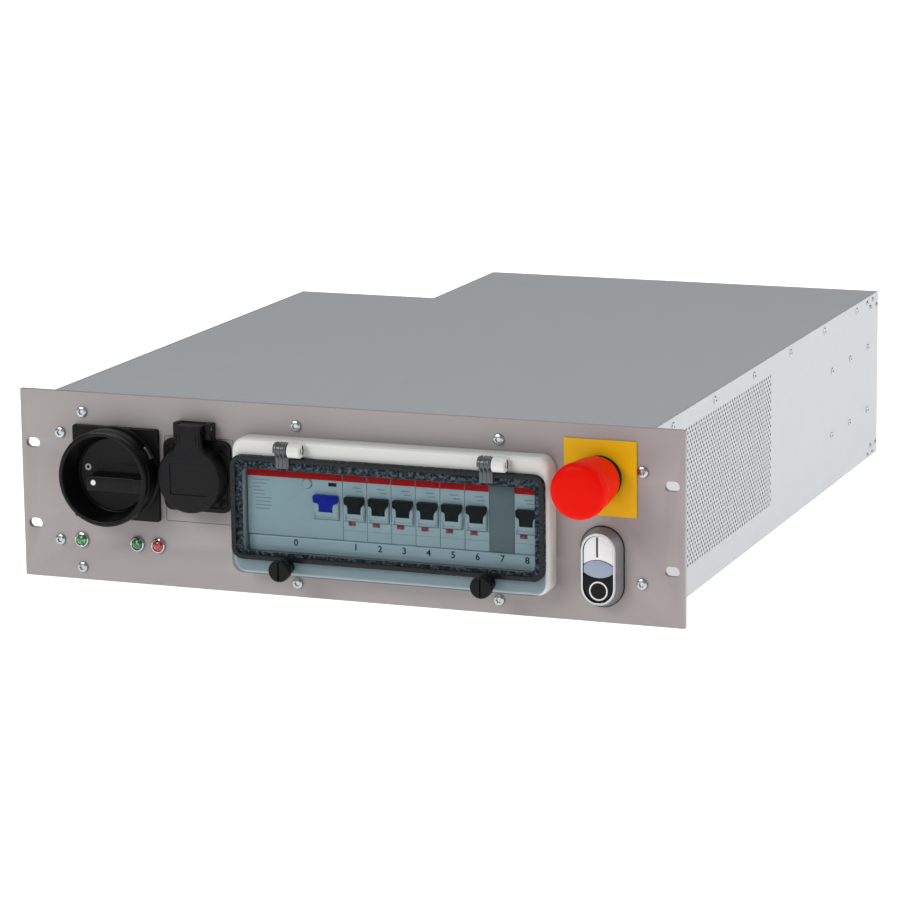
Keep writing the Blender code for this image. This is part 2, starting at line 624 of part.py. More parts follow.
def make_cable_gland():
    inner = NOTCH_Y - SHEET - GLAND_THREAD_REACH
    nut = NOTCH_Y + GAP + GLAND_NUT_REACH
    tip = NOTCH_Y + GAP + GLAND_DOME_REACH
    profile = [(GLAND_BORE, inner), (GLAND_THREAD_RADIUS, inner),
               (GLAND_THREAD_RADIUS, NOTCH_Y + GAP), (GLAND_RADIUS, NOTCH_Y + GAP),
               (GLAND_RADIUS, nut), (GLAND_DOME_RADIUS, nut), (GLAND_DOME_RADIUS, tip - GLAND_TIP),
               (GLAND_BORE + SHEET / 2, tip), (GLAND_BORE, tip)]
    piece("cable_gland", turned(profile, gland_x(), MIDDLE, SMALL_ROUND), "black_plastic")


def make_inside():
    rail_y = BODY_DEPTH + GAP
    low, high = centred(ROW_Z, RAIL_HEIGHT)
    crown_low, crown_high = centred(ROW_Z, RAIL_CROWN)
    back = rail_y + RAIL_DEPTH
    outline = [(rail_y, low), (rail_y, crown_low + RAIL_SHEET), (back - RAIL_SHEET, crown_low + RAIL_SHEET),
               (back - RAIL_SHEET, crown_high - RAIL_SHEET), (rail_y, crown_high - RAIL_SHEET),
               (rail_y, high), (rail_y + RAIL_SHEET, high), (rail_y + RAIL_SHEET, crown_high),
               (back, crown_high), (back, crown_low), (rail_y + RAIL_SHEET, crown_low),
               (rail_y + RAIL_SHEET, low)]
    piece("din_rail", prism(outline, ROW_LEFT - RAIL_OVERHANG, ROW_RIGHT + RAIL_OVERHANG, axis="X"),
          "bright_metal")
    post = back + GAP
    foot = FLOOR + GAP
    bracket = [(post, foot), (post, high), (post + BRACKET_SHEET, high),
               (post + BRACKET_SHEET, foot + BRACKET_SHEET), (post + BRACKET_FOOT, foot + BRACKET_SHEET),
               (post + BRACKET_FOOT, foot)]
    for side, x in (("left", ROW_LEFT + BRACKET_INSET), ("right", ROW_RIGHT - BRACKET_INSET)):
        piece("rail_bracket_" + side, prism(bracket, *centred(x, BRACKET_WIDTH), axis="X"),
              "bright_metal")
    width, depth, height = CONTACTOR_SIZE
    front = BODY_DEPTH + CONTACTOR_BEHIND_ROW
    contactor = join(block(centred(STOP_X, width), (front, front + depth), (foot, foot + height / 2)),
                     block(centred(STOP_X, width - CONTACTOR_STEP),
                           (front + CONTACTOR_STEP, front + depth - CONTACTOR_STEP),
                           (foot, foot + height)))
    piece("contactor", contactor, "soft_black")
    length = TERMINALS * TERMINAL_PITCH
    blocks = block(centred(0, length), (TERMINAL_BEHIND_PANEL, TERMINAL_BEHIND_PANEL + TERMINAL_BASE.y),
                   (foot, foot + TERMINAL_BASE.z))
    for index in range(TERMINALS):
        x = (index - (TERMINALS - 1) / 2) * TERMINAL_PITCH
        middle = TERMINAL_BEHIND_PANEL + TERMINAL_BASE.y / 2
        blocks = join(blocks, block(centred(x, TERMINAL_PITCH - TERMINAL_GAP),
                                    centred(middle, TERMINAL_BASE.y / 2),
                                    (foot + TERMINAL_BASE.z / 2, foot + TERMINAL_HEIGHT)))
    piece("terminal_block", blocks, "blank_grey")


# Main switch

def make_main_switch():
    plate_front = -(GAP + SWITCH_PLATE_THICKNESS)
    collar_front = plate_front - COLLAR_HEIGHT
    bore = SHAFT_SIDE / 2 * math.sqrt(2) + SHAFT_PLAY
    collar = KNOB_RADIUS - COLLAR_INSET
    body = collar - COLLAR_WALL - GAP
    ring = turned([(collar - COLLAR_WALL, collar_front), (collar, collar_front),
                   (collar, plate_front + GAP), (collar - COLLAR_WALL, plate_front + GAP)],
                  SWITCH_X, SWITCH_Z)
    plate = join(block(centred(SWITCH_X, SWITCH_PLATE), (plate_front, -GAP),
                       centred(SWITCH_Z, SWITCH_PLATE)), ring)
    plate = cut(plate, rod(bore, (plate_front - GAP, GAP), SWITCH_X, SWITCH_Z, SMALL_ROUND))
    piece("switch_plate", plate, "black_plastic")

    body_side = SWITCH_PLATE - 2 * SWITCH_BODY_INSET
    shaft_end = BEHIND_PANEL + SHAFT_REACH
    contacts = cut(block(centred(SWITCH_X, body_side),
                         (BEHIND_PANEL, BEHIND_PANEL + SWITCH_BODY_DEPTH),
                         centred(SWITCH_Z, body_side)),
                   rod(bore, (0, shaft_end + SHAFT_PLAY), SWITCH_X, SWITCH_Z, SMALL_ROUND))
    piece("switch_body", contacts, "soft_black")

    anchor("main_switch_axis", (SWITCH_X, collar_front, SWITCH_Z), "unit")
    back = plate_front - GAP
    flange_back = collar_front - GAP
    rim = flange_back - KNOB_HEIGHT
    floor = back - KNOB_FLOOR
    inner = KNOB_RADIUS - KNOB_WALL
    floor_radius = inner - KNOB_TAPER
    cup = turned([(0, back), (body, back), (body, flange_back), (KNOB_RADIUS, flange_back),
                  (KNOB_RADIUS, rim), (inner, rim), (floor_radius, floor), (0, floor)],
                 SWITCH_X, SWITCH_Z)
    grip_z = centred(SWITCH_Z - GRIP_BELOW_AXIS, GRIP_HEIGHT)
    grip = join(block((SWITCH_X - GRIP_REACH, SWITCH_X + KNOB_RADIUS), (rim + GRIP_DROP, back), grip_z),
                block((SWITCH_X + GRIP_STEP, SWITCH_X + KNOB_RADIUS), (rim + GRIP_STEP_DROP, back),
                      grip_z))
    # the grip runs out into the cup's wall and floor
    inside = turned([(0, floor + KNOB_FLOOR / 2), (floor_radius + GAP, floor + KNOB_FLOOR / 2),
                     (inner + GAP, rim), (0, rim)], SWITCH_X, SWITCH_Z)
    grip = combine(grip, inside, "INTERSECT")
    shaft = block(centred(SWITCH_X, SHAFT_SIDE), (back - KNOB_FLOOR / 2, shaft_end),
                  centred(SWITCH_Z, SHAFT_SIDE))
    piece("main_switch_knob", join(cup, grip, shaft), "black_plastic", "main_switch_axis")


# Service socket

def make_service_socket():
    front = -(GAP + FLANGE_THICKNESS)
    collar_front = front - SOCKET_COLLAR_HEIGHT
    well_floor = collar_front + WELL_DEPTH
    outer = WELL_RADIUS + WELL_WALL
    lid_back = collar_front - GAP
    lid_front = lid_back - LID_THICKNESS
    axis_y = front - GAP - LID_BARREL_RADIUS - GAP
    axis_z = SOCKET_Z + LID_AXIS_ABOVE
    ear_width = LID_NECK_WIDTH + 2 * GAP + 2 * LID_EAR_THICKNESS
    ear_top = axis_z + LID_BARREL_RADIUS

    flange = prism(rounded(centred(SOCKET_X, FLANGE_SIDE), centred(SOCKET_Z, FLANGE_SIDE),
                           FLANGE_CORNER), front, -GAP)
    upstand = block(centred(SOCKET_X, ear_width), (front + GAP, -2 * GAP), (SOCKET_Z, ear_top))
    ears = block(centred(SOCKET_X, ear_width), (axis_y - LID_BARREL_RADIUS, front + 2 * GAP),
                 (axis_z - 2 * LID_BARREL_RADIUS, ear_top + GAP))
    neck_space = block(centred(SOCKET_X, LID_NECK_WIDTH + 2 * GAP),
                       (axis_y - 2 * LID_BARREL_RADIUS, front + 3 * GAP),
                       (SOCKET_Z + outer + GAP, ear_top + 2 * GAP))
    barrel = rod(outer, (collar_front, well_floor + WELL_FLOOR), SOCKET_X, SOCKET_Z)
    well = rod(WELL_RADIUS, (collar_front - GAP, well_floor), SOCKET_X, SOCKET_Z)
    pin_x = centred(SOCKET_X, ear_width)
    pin_bore = cross_rod(LID_PIN_RADIUS + PIN_PLAY, (pin_x[0] - GAP, pin_x[1] + GAP), axis_y, axis_z)
    flange = cut(join(flange, upstand, cut(ears, neck_space), barrel), well, pin_bore)
    piece("socket_flange", flange, "black_plastic")
    piece("lid_pin", cross_rod(LID_PIN_RADIUS, pin_x, axis_y, axis_z), "bright_metal",
          place=(SOCKET_X, axis_y, axis_z))

    anchor("socket_lid_axis", (SOCKET_X, axis_y, axis_z), "unit")
    disc = rod(LID_RADIUS, (lid_front, lid_back), SOCKET_X, SOCKET_Z)
    half_neck = LID_NECK_WIDTH / 2
    shoulder_x = LID_RADIUS * math.cos(LID_SHOULDER)
    shoulder_z = LID_RADIUS * math.sin(LID_SHOULDER)
    side = [(half_neck, LID_AXIS_ABOVE), (half_neck, LID_AXIS_ABOVE - LID_NECK_STRAIGHT),
            (half_neck + LID_WAIST_FLARE, shoulder_z + LID_WAIST_RISE),
            (shoulder_x, shoulder_z), (shoulder_x, 0)]
    outline = [(SOCKET_X + x, SOCKET_Z + z) for x, z in side]
    outline += [(SOCKET_X - x, SOCKET_Z + z) for x, z in reversed(side)]
    neck = prism(outline, lid_front, lid_front + LID_NECK_THICKNESS)
    arm = block(centred(SOCKET_X, LID_NECK_WIDTH), (lid_front, axis_y),
                (axis_z - LID_BARREL_RADIUS, axis_z + LID_BARREL_RADIUS))
    roll = cross_rod(LID_BARREL_RADIUS, centred(SOCKET_X, LID_NECK_WIDTH), axis_y, axis_z)
    pocket = rod(LID_RADIUS - LID_POCKET_WALL, (lid_back - LID_POCKET, lid_back + GAP), SOCKET_X, SOCKET_Z)
    field = block(centred(SOCKET_X, LID_FIELD_WIDTH), (lid_front - GAP, lid_front + LID_FIELD_DEPTH),
                  centred(SOCKET_Z, LID_FIELD_HEIGHT))
    bore = cross_rod(LID_PIN_RADIUS + PIN_PLAY, (pin_x[0], pin_x[1]), axis_y, axis_z)
    lid = cut(join(disc, neck, arm, roll), pocket, field, bore)
    piece("socket_lid", lid, "black_plastic", "socket_lid_axis")


# Breakers

def breaker_body(x_range, lever_x, drum_width):
    """A breaker's case in side view, with a round pocket for the lever's drum."""
    top, bottom = ROW_Z + BODY_HEIGHT / 2, ROW_Z - BODY_HEIGHT / 2
    outline = [(-NOSE_FRONT, NOSE_BOTTOM), (-NOSE_FRONT, NOSE_TOP), (SHOULDER_DEPTH, NOSE_TOP),
               (SHOULDER_DEPTH, top), (BODY_DEPTH, top), (BODY_DEPTH, bottom),
               (SHOULDER_DEPTH, bottom), (SHOULDER_DEPTH, NOSE_BOTTOM)]
    case = prism(outline, x_range[0], x_range[1], axis="X")
    pocket = cross_rod(DRUM_RADIUS + DRUM_PLAY, centred(lever_x, drum_width + 2 * GAP),
                       LEVER_AXIS_DEPTH, LEVER_Z, ROUND)
    return cut(case, pocket)


def make_lever(name, x, drum_width, stem_width, finish_name):
    """A drum with a T-shaped handle on its front, pushed up."""
    drum = cross_rod(DRUM_RADIUS, centred(x, drum_width), LEVER_AXIS_DEPTH, LEVER_Z, ROUND)
    face = LEVER_AXIS_DEPTH - LEVER_REACH
    head_top = LEVER_Z + LEVER_RISE
    head_bottom = head_top - HEAD_HEIGHT
    head = block(centred(x, drum_width - GAP), (face, face + HEAD_DEPTH), (head_bottom, head_top))
    stem = block(centred(x, stem_width), (face + LEVER_STEP, LEVER_AXIS_DEPTH),
                 (head_bottom - STEM_HEIGHT, head_bottom + STEM_OVERLAP))
    anchor(name + "_axis", (x, LEVER_AXIS_DEPTH, LEVER_Z), "unit")
    piece(name, join(drum, stem, head), finish_name, name + "_axis")


def make_breakers():
    rcd_right = ROW_LEFT + RCD_MODULES * MODULE
    rcd_lever_x = rcd_right - RCD_LEVER_INSET
    rcd = breaker_body((ROW_LEFT + GAP / 2, rcd_right - GAP / 2), rcd_lever_x, RCD_DRUM_WIDTH)
    test_x = rcd_right - TEST_BUTTON_INSET
    test_z = NOSE_TOP - TEST_BUTTON_DROP
    well = rod(TEST_BUTTON_RADIUS + BUTTON_PLAY, (-NOSE_FRONT - GAP, TEST_BUTTON_WELL - NOSE_FRONT),
               test_x, test_z, SMALL_ROUND)
    piece("rcd_body", cut(rcd, well), "breaker_white")
    make_lever("rcd_lever", rcd_lever_x, RCD_DRUM_WIDTH, RCD_STEM_WIDTH, "blue_plastic")
    anchor("rcd_test_axis", (test_x, -NOSE_FRONT, test_z), "unit")
    button_back = TEST_BUTTON_WELL - NOSE_FRONT - TEST_BUTTON_TRAVEL - GAP
    piece("rcd_test_button", rod(TEST_BUTTON_RADIUS, (-NOSE_FRONT - TEST_BUTTON_HEIGHT, button_back),
                                 test_x, test_z, SMALL_ROUND), "white_plastic", "rcd_test_axis")

    names = ["%d" % (index + 1) for index in range(BREAKERS)] + ["blank", "service"]
    for index, name in enumerate(names):
        left = rcd_right + index * MODULE
        sides = (left + GAP / 2, left + MODULE - GAP / 2)
        middle = left + MODULE / 2
        if name == "blank":
            outline = [(-NOSE_FRONT, NOSE_BOTTOM), (-NOSE_FRONT, NOSE_TOP),
                       (BODY_DEPTH / 2, NOSE_TOP), (BODY_DEPTH / 2, NOSE_BOTTOM)]
            piece("blank_module", prism(outline, *sides, axis="X"), "blank_grey")
            continue
        prefix = "service_breaker" if name == "service" else "breaker"
        suffix = "" if name == "service" else "_" + name
        piece(prefix + "_body" + suffix, breaker_body(sides, middle, DRUM_WIDTH), "breaker_white",
              place=(middle, 0, ROW_Z))
        make_lever(prefix + "_lever" + suffix, middle, DRUM_WIDTH, STEM_WIDTH, "black_plastic")
    piece("label_strip", block((ROW_LEFT, ROW_RIGHT), (-LABEL_FRONT, -GAP),
                               (LABEL_BOTTOM, LABEL_BOTTOM + LABEL_HEIGHT)), "white_plastic")


# Window

def make_window():
    opening = rounded((ROW_LEFT - OPENING_SIDE_CLEARANCE, ROW_RIGHT + OPENING_SIDE_CLEARANCE),
                      (LABEL_BOTTOM - GAP, NOSE_TOP + OPENING_TOP_CLEARANCE),
                      OPENING_SIDE_CLEARANCE, 2)
    housing = prism(rounded((HOUSING_LEFT, HOUSING_RIGHT), (HOUSING_BOTTOM, HOUSING_TOP),
                            HOUSING_CORNER), -HOUSING_DEPTH, -GAP)
    housing = cut(housing, prism(opening, -HOUSING_DEPTH - GAP, 0))
    for left in HINGE_LEFTS:
        knuckle = knuckle_range(left)
        foot = block(knuckle, (HINGE_Y, GAP - HOUSING_DEPTH), centred(HINGE_Z, HINGE_FOOT))
        roll = cross_rod(HINGE_RADIUS, knuckle, HINGE_Y, HINGE_Z)
        bore = cross_rod(HINGE_BORE_RADIUS, (knuckle[0] - GAP, knuckle[1] + GAP), HINGE_Y, HINGE_Z)
        housing = cut(join(housing, foot, roll), bore)
    shank_end = THUMB_SHANK - PANE_FRONT
    for x in THUMB_XS:
        hole = rod(THUMB_SHANK_RADIUS + THUMB_PLAY, (-HOUSING_DEPTH - GAP, shank_end + THUMB_PLAY), x,
                   THUMB_Z, SMALL_ROUND)
        housing = cut(housing, hole)
    piece("window_housing", housing, "housing_grey")

    anchor("window_axis", (0, HINGE_Y, HINGE_Z), "unit")
    pane = prism(rounded((PANE_LEFT, PANE_RIGHT), (PANE_BOTTOM, PANE_TOP), PANE_CORNER),
                 -PANE_FRONT, -PANE_BACK)
    for x in THUMB_XS:
        pane = cut(pane, rod(THUMB_SHANK_RADIUS + BUTTON_PLAY, (-PANE_FRONT - GAP, GAP - PANE_BACK), x,
                             THUMB_Z, SMALL_ROUND))
    piece("window_pane", pane, "clear_pane", "window_axis")
    gasket_bottom = PANE_BOTTOM + GASKET_SKIRT
    gasket = prism(rounded((PANE_LEFT, PANE_RIGHT), (gasket_bottom, PANE_TOP), PANE_CORNER),
                   -GASKET_FRONT, -HOUSING_DEPTH - GAP)
    clear = prism(rounded((PANE_LEFT + GASKET_SIDE, PANE_RIGHT - GASKET_SIDE),
                          (gasket_bottom + GASKET_BOTTOM, PANE_TOP - GASKET_TOP),
                          PANE_CORNER / 2), -GASKET_FRONT - GAP, GAP - HOUSING_DEPTH)
    piece("window_gasket", cut(gasket, clear), "soft_black", "window_axis")
    for side, left, x in zip(("left", "right"), HINGE_LEFTS, THUMB_XS):
        make_hinge(side, left)
        make_thumb_screw(side, x)


def knuckle_range(strap_left):
    left = strap_left + STRAP_WIDTH + KNUCKLE_PLAY
    return (left, left + KNUCKLE_WIDTH)


def make_hinge(side, left):
    strap_x = (left, left + STRAP_WIDTH)
    tongue_back = -PANE_FRONT - GAP
    tongue = block(strap_x, (tongue_back - STRAP_THICKNESS, tongue_back),
                   (HINGE_Z - STRAP_TONGUE, HINGE_Z - HINGE_BORE_RADIUS))
    roll = cross_rod(HINGE_RADIUS, strap_x, HINGE_Y, HINGE_Z)
    bore = cross_rod(HINGE_BORE_RADIUS, (strap_x[0] - GAP, strap_x[1] + GAP), HINGE_Y, HINGE_Z)
    piece("hinge_strap_" + side, cut(join(roll, tongue), bore), "smoky_plastic", "window_axis")
    pin_x = (left, knuckle_range(left)[1] - KNUCKLE_PLAY)
    piece("hinge_pin_" + side, cross_rod(HINGE_PIN_RADIUS, pin_x, HINGE_Y, HINGE_Z), "bright_metal",
          place=(left, HINGE_Y, HINGE_Z))


def make_thumb_screw(side, x):
    name = "thumb_screw_" + side
    anchor(name + "_axis", (x, -PANE_FRONT, THUMB_Z), "window_axis")
    neck_back = -PANE_FRONT - GAP
    head_back = neck_back - THUMB_NECK
    head_front = head_back - THUMB_HEAD
    profile = [(0, head_front), (THUMB_RADIUS - THUMB_SLOT, head_front),
               (THUMB_RADIUS, head_front + THUMB_SLOT), (THUMB_RADIUS, head_back),
               (THUMB_NECK_RADIUS, head_back), (THUMB_NECK_RADIUS, neck_back),
               (THUMB_SHANK_RADIUS, neck_back), (THUMB_SHANK_RADIUS, THUMB_SHANK - PANE_FRONT),
               (0, THUMB_SHANK - PANE_FRONT)]
    slot = block(centred(x, THUMB_SLOT), (head_front - GAP, head_front + THUMB_SLOT),
                 centred(THUMB_Z, 2 * THUMB_RADIUS + GAP))
    piece(name, cut(turned(profile, x, THUMB_Z, SMALL_ROUND), slot), "black_plastic", name + "_axis")


# Emergency stop, pushbuttons and lamps

def make_emergency_stop():
    plate_front = -(GAP + STOP_PLATE_THICKNESS)
    plate = block(centred(STOP_X, STOP_PLATE_WIDTH), (plate_front, -GAP),
                  centred(STOP_Z, STOP_PLATE_HEIGHT))
    piece("estop_plate", cut(plate, rod(BARREL_RADIUS + BARREL_PLAY, (plate_front - GAP, 0), STOP_X,
                                        STOP_Z)), "signal_yellow")
    collar_back = plate_front - GAP
    collar_front = collar_back - STOP_COLLAR_HEIGHT
    sleeve_front = collar_back - STOP_SLEEVE_HEIGHT
    bore_end = STOP_STEM_REACH + STOP_TRAVEL + GAP
    profile = [(0, bore_end), (STOP_BORE_RADIUS, bore_end), (STOP_BORE_RADIUS, sleeve_front),
               (STOP_SLEEVE_RADIUS, sleeve_front), (STOP_SLEEVE_RADIUS, collar_front),
               (STOP_COLLAR_RADIUS, collar_front), (STOP_COLLAR_RADIUS, collar_back),
               (BARREL_RADIUS, collar_back), (BARREL_RADIUS, BEHIND_PANEL + BARREL_RADIUS),
               (0, BEHIND_PANEL + BARREL_RADIUS)]
    contacts = block(centred(STOP_X, BLOCK_WIDTH), (BEHIND_PANEL, BEHIND_PANEL + BLOCK_DEPTH),
                     centred(STOP_Z, block_height()))
    bore = rod(STOP_BORE_RADIUS, (0, bore_end), STOP_X, STOP_Z)
    piece("estop_body", join(cut(contacts, bore), turned(profile, STOP_X, STOP_Z)), "soft_black")

    anchor("estop_axis", (STOP_X, collar_front, STOP_Z), "unit")
    skirt_end = collar_front - GAP - STOP_TRAVEL
    hollow_end = sleeve_front - GAP - STOP_TRAVEL
    hollow = STOP_SKIRT_RADIUS - STOP_SKIRT_WALL
    cap_back = STOP_CAP_HEIGHT - STOP_REACH
    dome = [(STOP_CAP_RADIUS * math.cos(math.radians(angle)),
             -STOP_REACH + STOP_DOME * (1 - math.sin(math.radians(angle))))
            for angle in (0, 30, 60)]
    profile = [(0, STOP_STEM_REACH), (STOP_STEM_RADIUS, STOP_STEM_REACH),
               (STOP_STEM_RADIUS, hollow_end), (hollow, hollow_end), (hollow, skirt_end),
               (STOP_SKIRT_RADIUS, skirt_end), (STOP_WAIST_RADIUS, -STOP_WAIST_REACH),
               (STOP_NECK_RADIUS, cap_back), (STOP_CAP_RADIUS, cap_back - STOP_CAP_LIP), *dome,
               (0, -STOP_REACH)]
    piece("estop_mushroom", turned(profile, STOP_X, STOP_Z), "signal_red", "estop_axis")


def block_height():
    """Contact blocks stand one over the other, so they fit between the two buttons' centres."""
    return min(BLOCK_HEIGHT, STOP_Z - BUTTON_Z - GAP, 2 * (COVER_UNDER - STOP_Z - GAP))


def lens_edge(direction):
    """Half the height of the lens between the keys, as points from left to right."""
    half = BUTTON_WIDTH / 2 - BUTTON_RIM
    steps = 8
    points = []
    for step in range(steps + 1):
        across = -1 + 2 * step / steps
        height = LENS_EDGE / 2 + LENS_RISE * (1 - across * across)
        points.append((BUTTON_X + across * half, BUTTON_Z + direction * height))
    return points


def key_outline(direction):
    """A key fills its half of the rim's opening up to the lens."""
    play = BUTTON_PLAY
    half = BUTTON_WIDTH / 2 - BUTTON_RIM - play
    centre_z = BUTTON_Z + direction * (BUTTON_HEIGHT / 2 - BUTTON_RIM - play - half)
    steps = 12
    outline = []
    for step in range(steps + 1):
        angle = math.pi * step / steps
        outline.append((BUTTON_X + half * math.cos(angle), centre_z + direction * half * math.sin(angle)))
    inner = [(min(max(x, BUTTON_X - half), BUTTON_X + half), z + direction * play)
             for x, z in lens_edge(direction)]
    return outline + inner


def make_pushbuttons():
    back = -GAP
    rim_x = centred(BUTTON_X, BUTTON_WIDTH)
    rim_z = centred(BUTTON_Z, BUTTON_HEIGHT)
    front_x = centred(BUTTON_X, BUTTON_WIDTH - 2 * BUTTON_TAPER)
    front_z = centred(BUTTON_Z, BUTTON_HEIGHT - 2 * BUTTON_TAPER)
    case = tapered(rounded(rim_x, rim_z, BUTTON_WIDTH / 2, 8), back,
                   rounded(front_x, front_z, BUTTON_WIDTH / 2 - BUTTON_TAPER, 8), -BUTTON_FRONT)
    inner_x = (rim_x[0] + BUTTON_RIM, rim_x[1] - BUTTON_RIM)
    inner_z = (rim_z[0] + BUTTON_RIM, rim_z[1] - BUTTON_RIM)
    pocket = prism(rounded(inner_x, inner_z, BUTTON_WIDTH / 2 - BUTTON_RIM, 8),
                   -BUTTON_FRONT - GAP, BUTTON_POCKET - BUTTON_FRONT)
    barrel = rod(BARREL_RADIUS, (back - GAP, BEHIND_PANEL + BARREL_RADIUS), BUTTON_X, BUTTON_Z)
    contacts = block(centred(BUTTON_X, BLOCK_WIDTH), (BEHIND_PANEL, BEHIND_PANEL + BLOCK_DEPTH),
                     centred(BUTTON_Z, min(block_height(), 2 * (BUTTON_Z - FLOOR - GAP))))
    piece("button_unit", join(cut(case, pocket), barrel, contacts), "bright_metal")

    key_front = KEY_RECESS - BUTTON_FRONT
    for name, direction, colour in (("on_button", 1, "white_plastic"), ("off_button", -1, "black_plastic")):
        anchor(name + "_axis", (BUTTON_X, key_front, BUTTON_Z), "unit")
        piece(name, prism(key_outline(direction), key_front, key_front + KEY_THICKNESS), colour,
              name + "_axis")
    half = BUTTON_WIDTH / 2 - BUTTON_RIM - BUTTON_PLAY
    outline = [(min(max(x, BUTTON_X - half), BUTTON_X + half), z)
               for x, z in lens_edge(1) + list(reversed(lens_edge(-1)))]
    piece("indicator_lens", prism(outline, key_front - GAP, BUTTON_POCKET - BUTTON_FRONT - GAP),
          "lens_blue")


def make_lamps():
    z = MIDDLE - LAMP_BELOW_MIDDLE
    for name, inset in LAMP_INSETS.items():
        dome = [(LAMP_RIM_RADIUS * math.cos(math.radians(angle)),
                 -GAP - LAMP_HEIGHT - LAMP_DOME * math.sin(math.radians(angle)))
                for angle in (0, 30, 60)]
        profile = [(0, BEHIND_PANEL + LAMP_BARREL), (LAMP_BARREL_RADIUS, BEHIND_PANEL + LAMP_BARREL),
                   (LAMP_BARREL_RADIUS, -GAP), (LAMP_RADIUS, -GAP), (LAMP_RADIUS, -GAP - LAMP_HEIGHT),
                   *dome, (0, -GAP - LAMP_HEIGHT - LAMP_DOME)]
        colour = "lens_red" if name == "lamp_error" else "lens_green"
        piece(name, turned(profile, LEFT + inset, z, SMALL_ROUND), colour)


def main():
    for thing in list(bpy.data.objects):
        bpy.data.objects.remove(thing)
    anchor("unit", (0, 0, 0))
    make_front_panel()
    make_chassis()
    make_outlet_strip()
    make_cable_gland()
    make_inside()
    make_main_switch()
    make_service_socket()
    make_breakers()
    make_window()
    make_emergency_stop()
    make_pushbuttons()
    make_lamps()
    bpy.data.objects["unit"].location = (0, UNIT_SHIFT, 0)


main()
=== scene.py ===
"""Looks of a 3U rack power unit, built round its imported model.

Sizes in the code are millimetres from the panel's face.
"""

import math
from types import SimpleNamespace

import bmesh
import bpy
from mathutils import Matrix, Vector


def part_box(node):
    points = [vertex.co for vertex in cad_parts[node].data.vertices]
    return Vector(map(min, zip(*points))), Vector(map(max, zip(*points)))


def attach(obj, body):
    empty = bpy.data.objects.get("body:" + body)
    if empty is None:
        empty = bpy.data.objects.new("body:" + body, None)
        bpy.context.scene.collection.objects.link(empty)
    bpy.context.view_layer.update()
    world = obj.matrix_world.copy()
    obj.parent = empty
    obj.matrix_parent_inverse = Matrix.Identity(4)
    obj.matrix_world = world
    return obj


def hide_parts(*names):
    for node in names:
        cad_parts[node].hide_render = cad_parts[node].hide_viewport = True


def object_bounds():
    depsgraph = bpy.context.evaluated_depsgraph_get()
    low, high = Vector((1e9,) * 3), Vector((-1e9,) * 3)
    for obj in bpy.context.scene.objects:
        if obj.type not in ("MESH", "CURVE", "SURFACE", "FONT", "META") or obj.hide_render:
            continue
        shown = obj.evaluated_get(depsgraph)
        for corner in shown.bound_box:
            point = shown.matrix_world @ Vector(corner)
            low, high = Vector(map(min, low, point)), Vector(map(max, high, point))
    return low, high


bl_info = {
    "name": "Rack Power Unit",
    "version": (1, 0, 0),
    "blender": (4, 5, 0),
    "location": "View3D > Sidebar > Rack",
    "description": "Builds a rack power unit's panel, controls, breakers, window and cover",
    "category": "Add Mesh",
}

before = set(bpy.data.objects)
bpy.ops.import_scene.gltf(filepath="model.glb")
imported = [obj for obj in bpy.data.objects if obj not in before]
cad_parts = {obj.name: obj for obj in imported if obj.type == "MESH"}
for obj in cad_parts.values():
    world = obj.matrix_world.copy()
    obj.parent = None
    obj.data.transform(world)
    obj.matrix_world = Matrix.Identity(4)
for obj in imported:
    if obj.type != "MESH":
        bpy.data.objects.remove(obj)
CAD_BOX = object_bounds()
MM = 0.001
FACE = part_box("front_panel")[0][1]      # the panel's front face
TINY = 0.01
DRUM_RADIUS = 12.0          # the breaker levers' drums
SOCKET_SCREW = 19.3         # the socket's screws from its middle
LID_HALF_WIDTH = 9.25       # the lid's neck and hinge roll
SHARP = math.radians(30)


def span(node):
    """A CAD node's lowest and highest corners."""
    low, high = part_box(node)
    shift = Vector((0, FACE, 0))
    return (Vector(low) - shift) / MM, (Vector(high) - shift) / MM


def middle(node):
    low, high = span(node)
    return (low + high) / 2


def sizes(context, group):
    """A property group's lengths in millimetres."""
    values = getattr(context.scene, group)
    return SimpleNamespace(**{key: getattr(values, key) / MM for key in values.__annotations__})


# Materials

class Signal:
    """A socket that adds Math nodes where it is used in an expression."""

    def __init__(self, recipe, socket):
        self.recipe = recipe
        self.socket = socket

    def math(self, operation, *values):
        return self.recipe.node("ShaderNodeMath", {"operation": operation}, *values)

    def __add__(self, other):
        return self.math("ADD", self, other)

    def __radd__(self, other):
        return self.math("ADD", other, self)

    def __sub__(self, other):
        return self.math("SUBTRACT", self, other)

    def __rsub__(self, other):
        return self.math("SUBTRACT", other, self)

    def __mul__(self, other):
        return self.math("MULTIPLY", self, other)

    def __rmul__(self, other):
        return self.math("MULTIPLY", other, self)



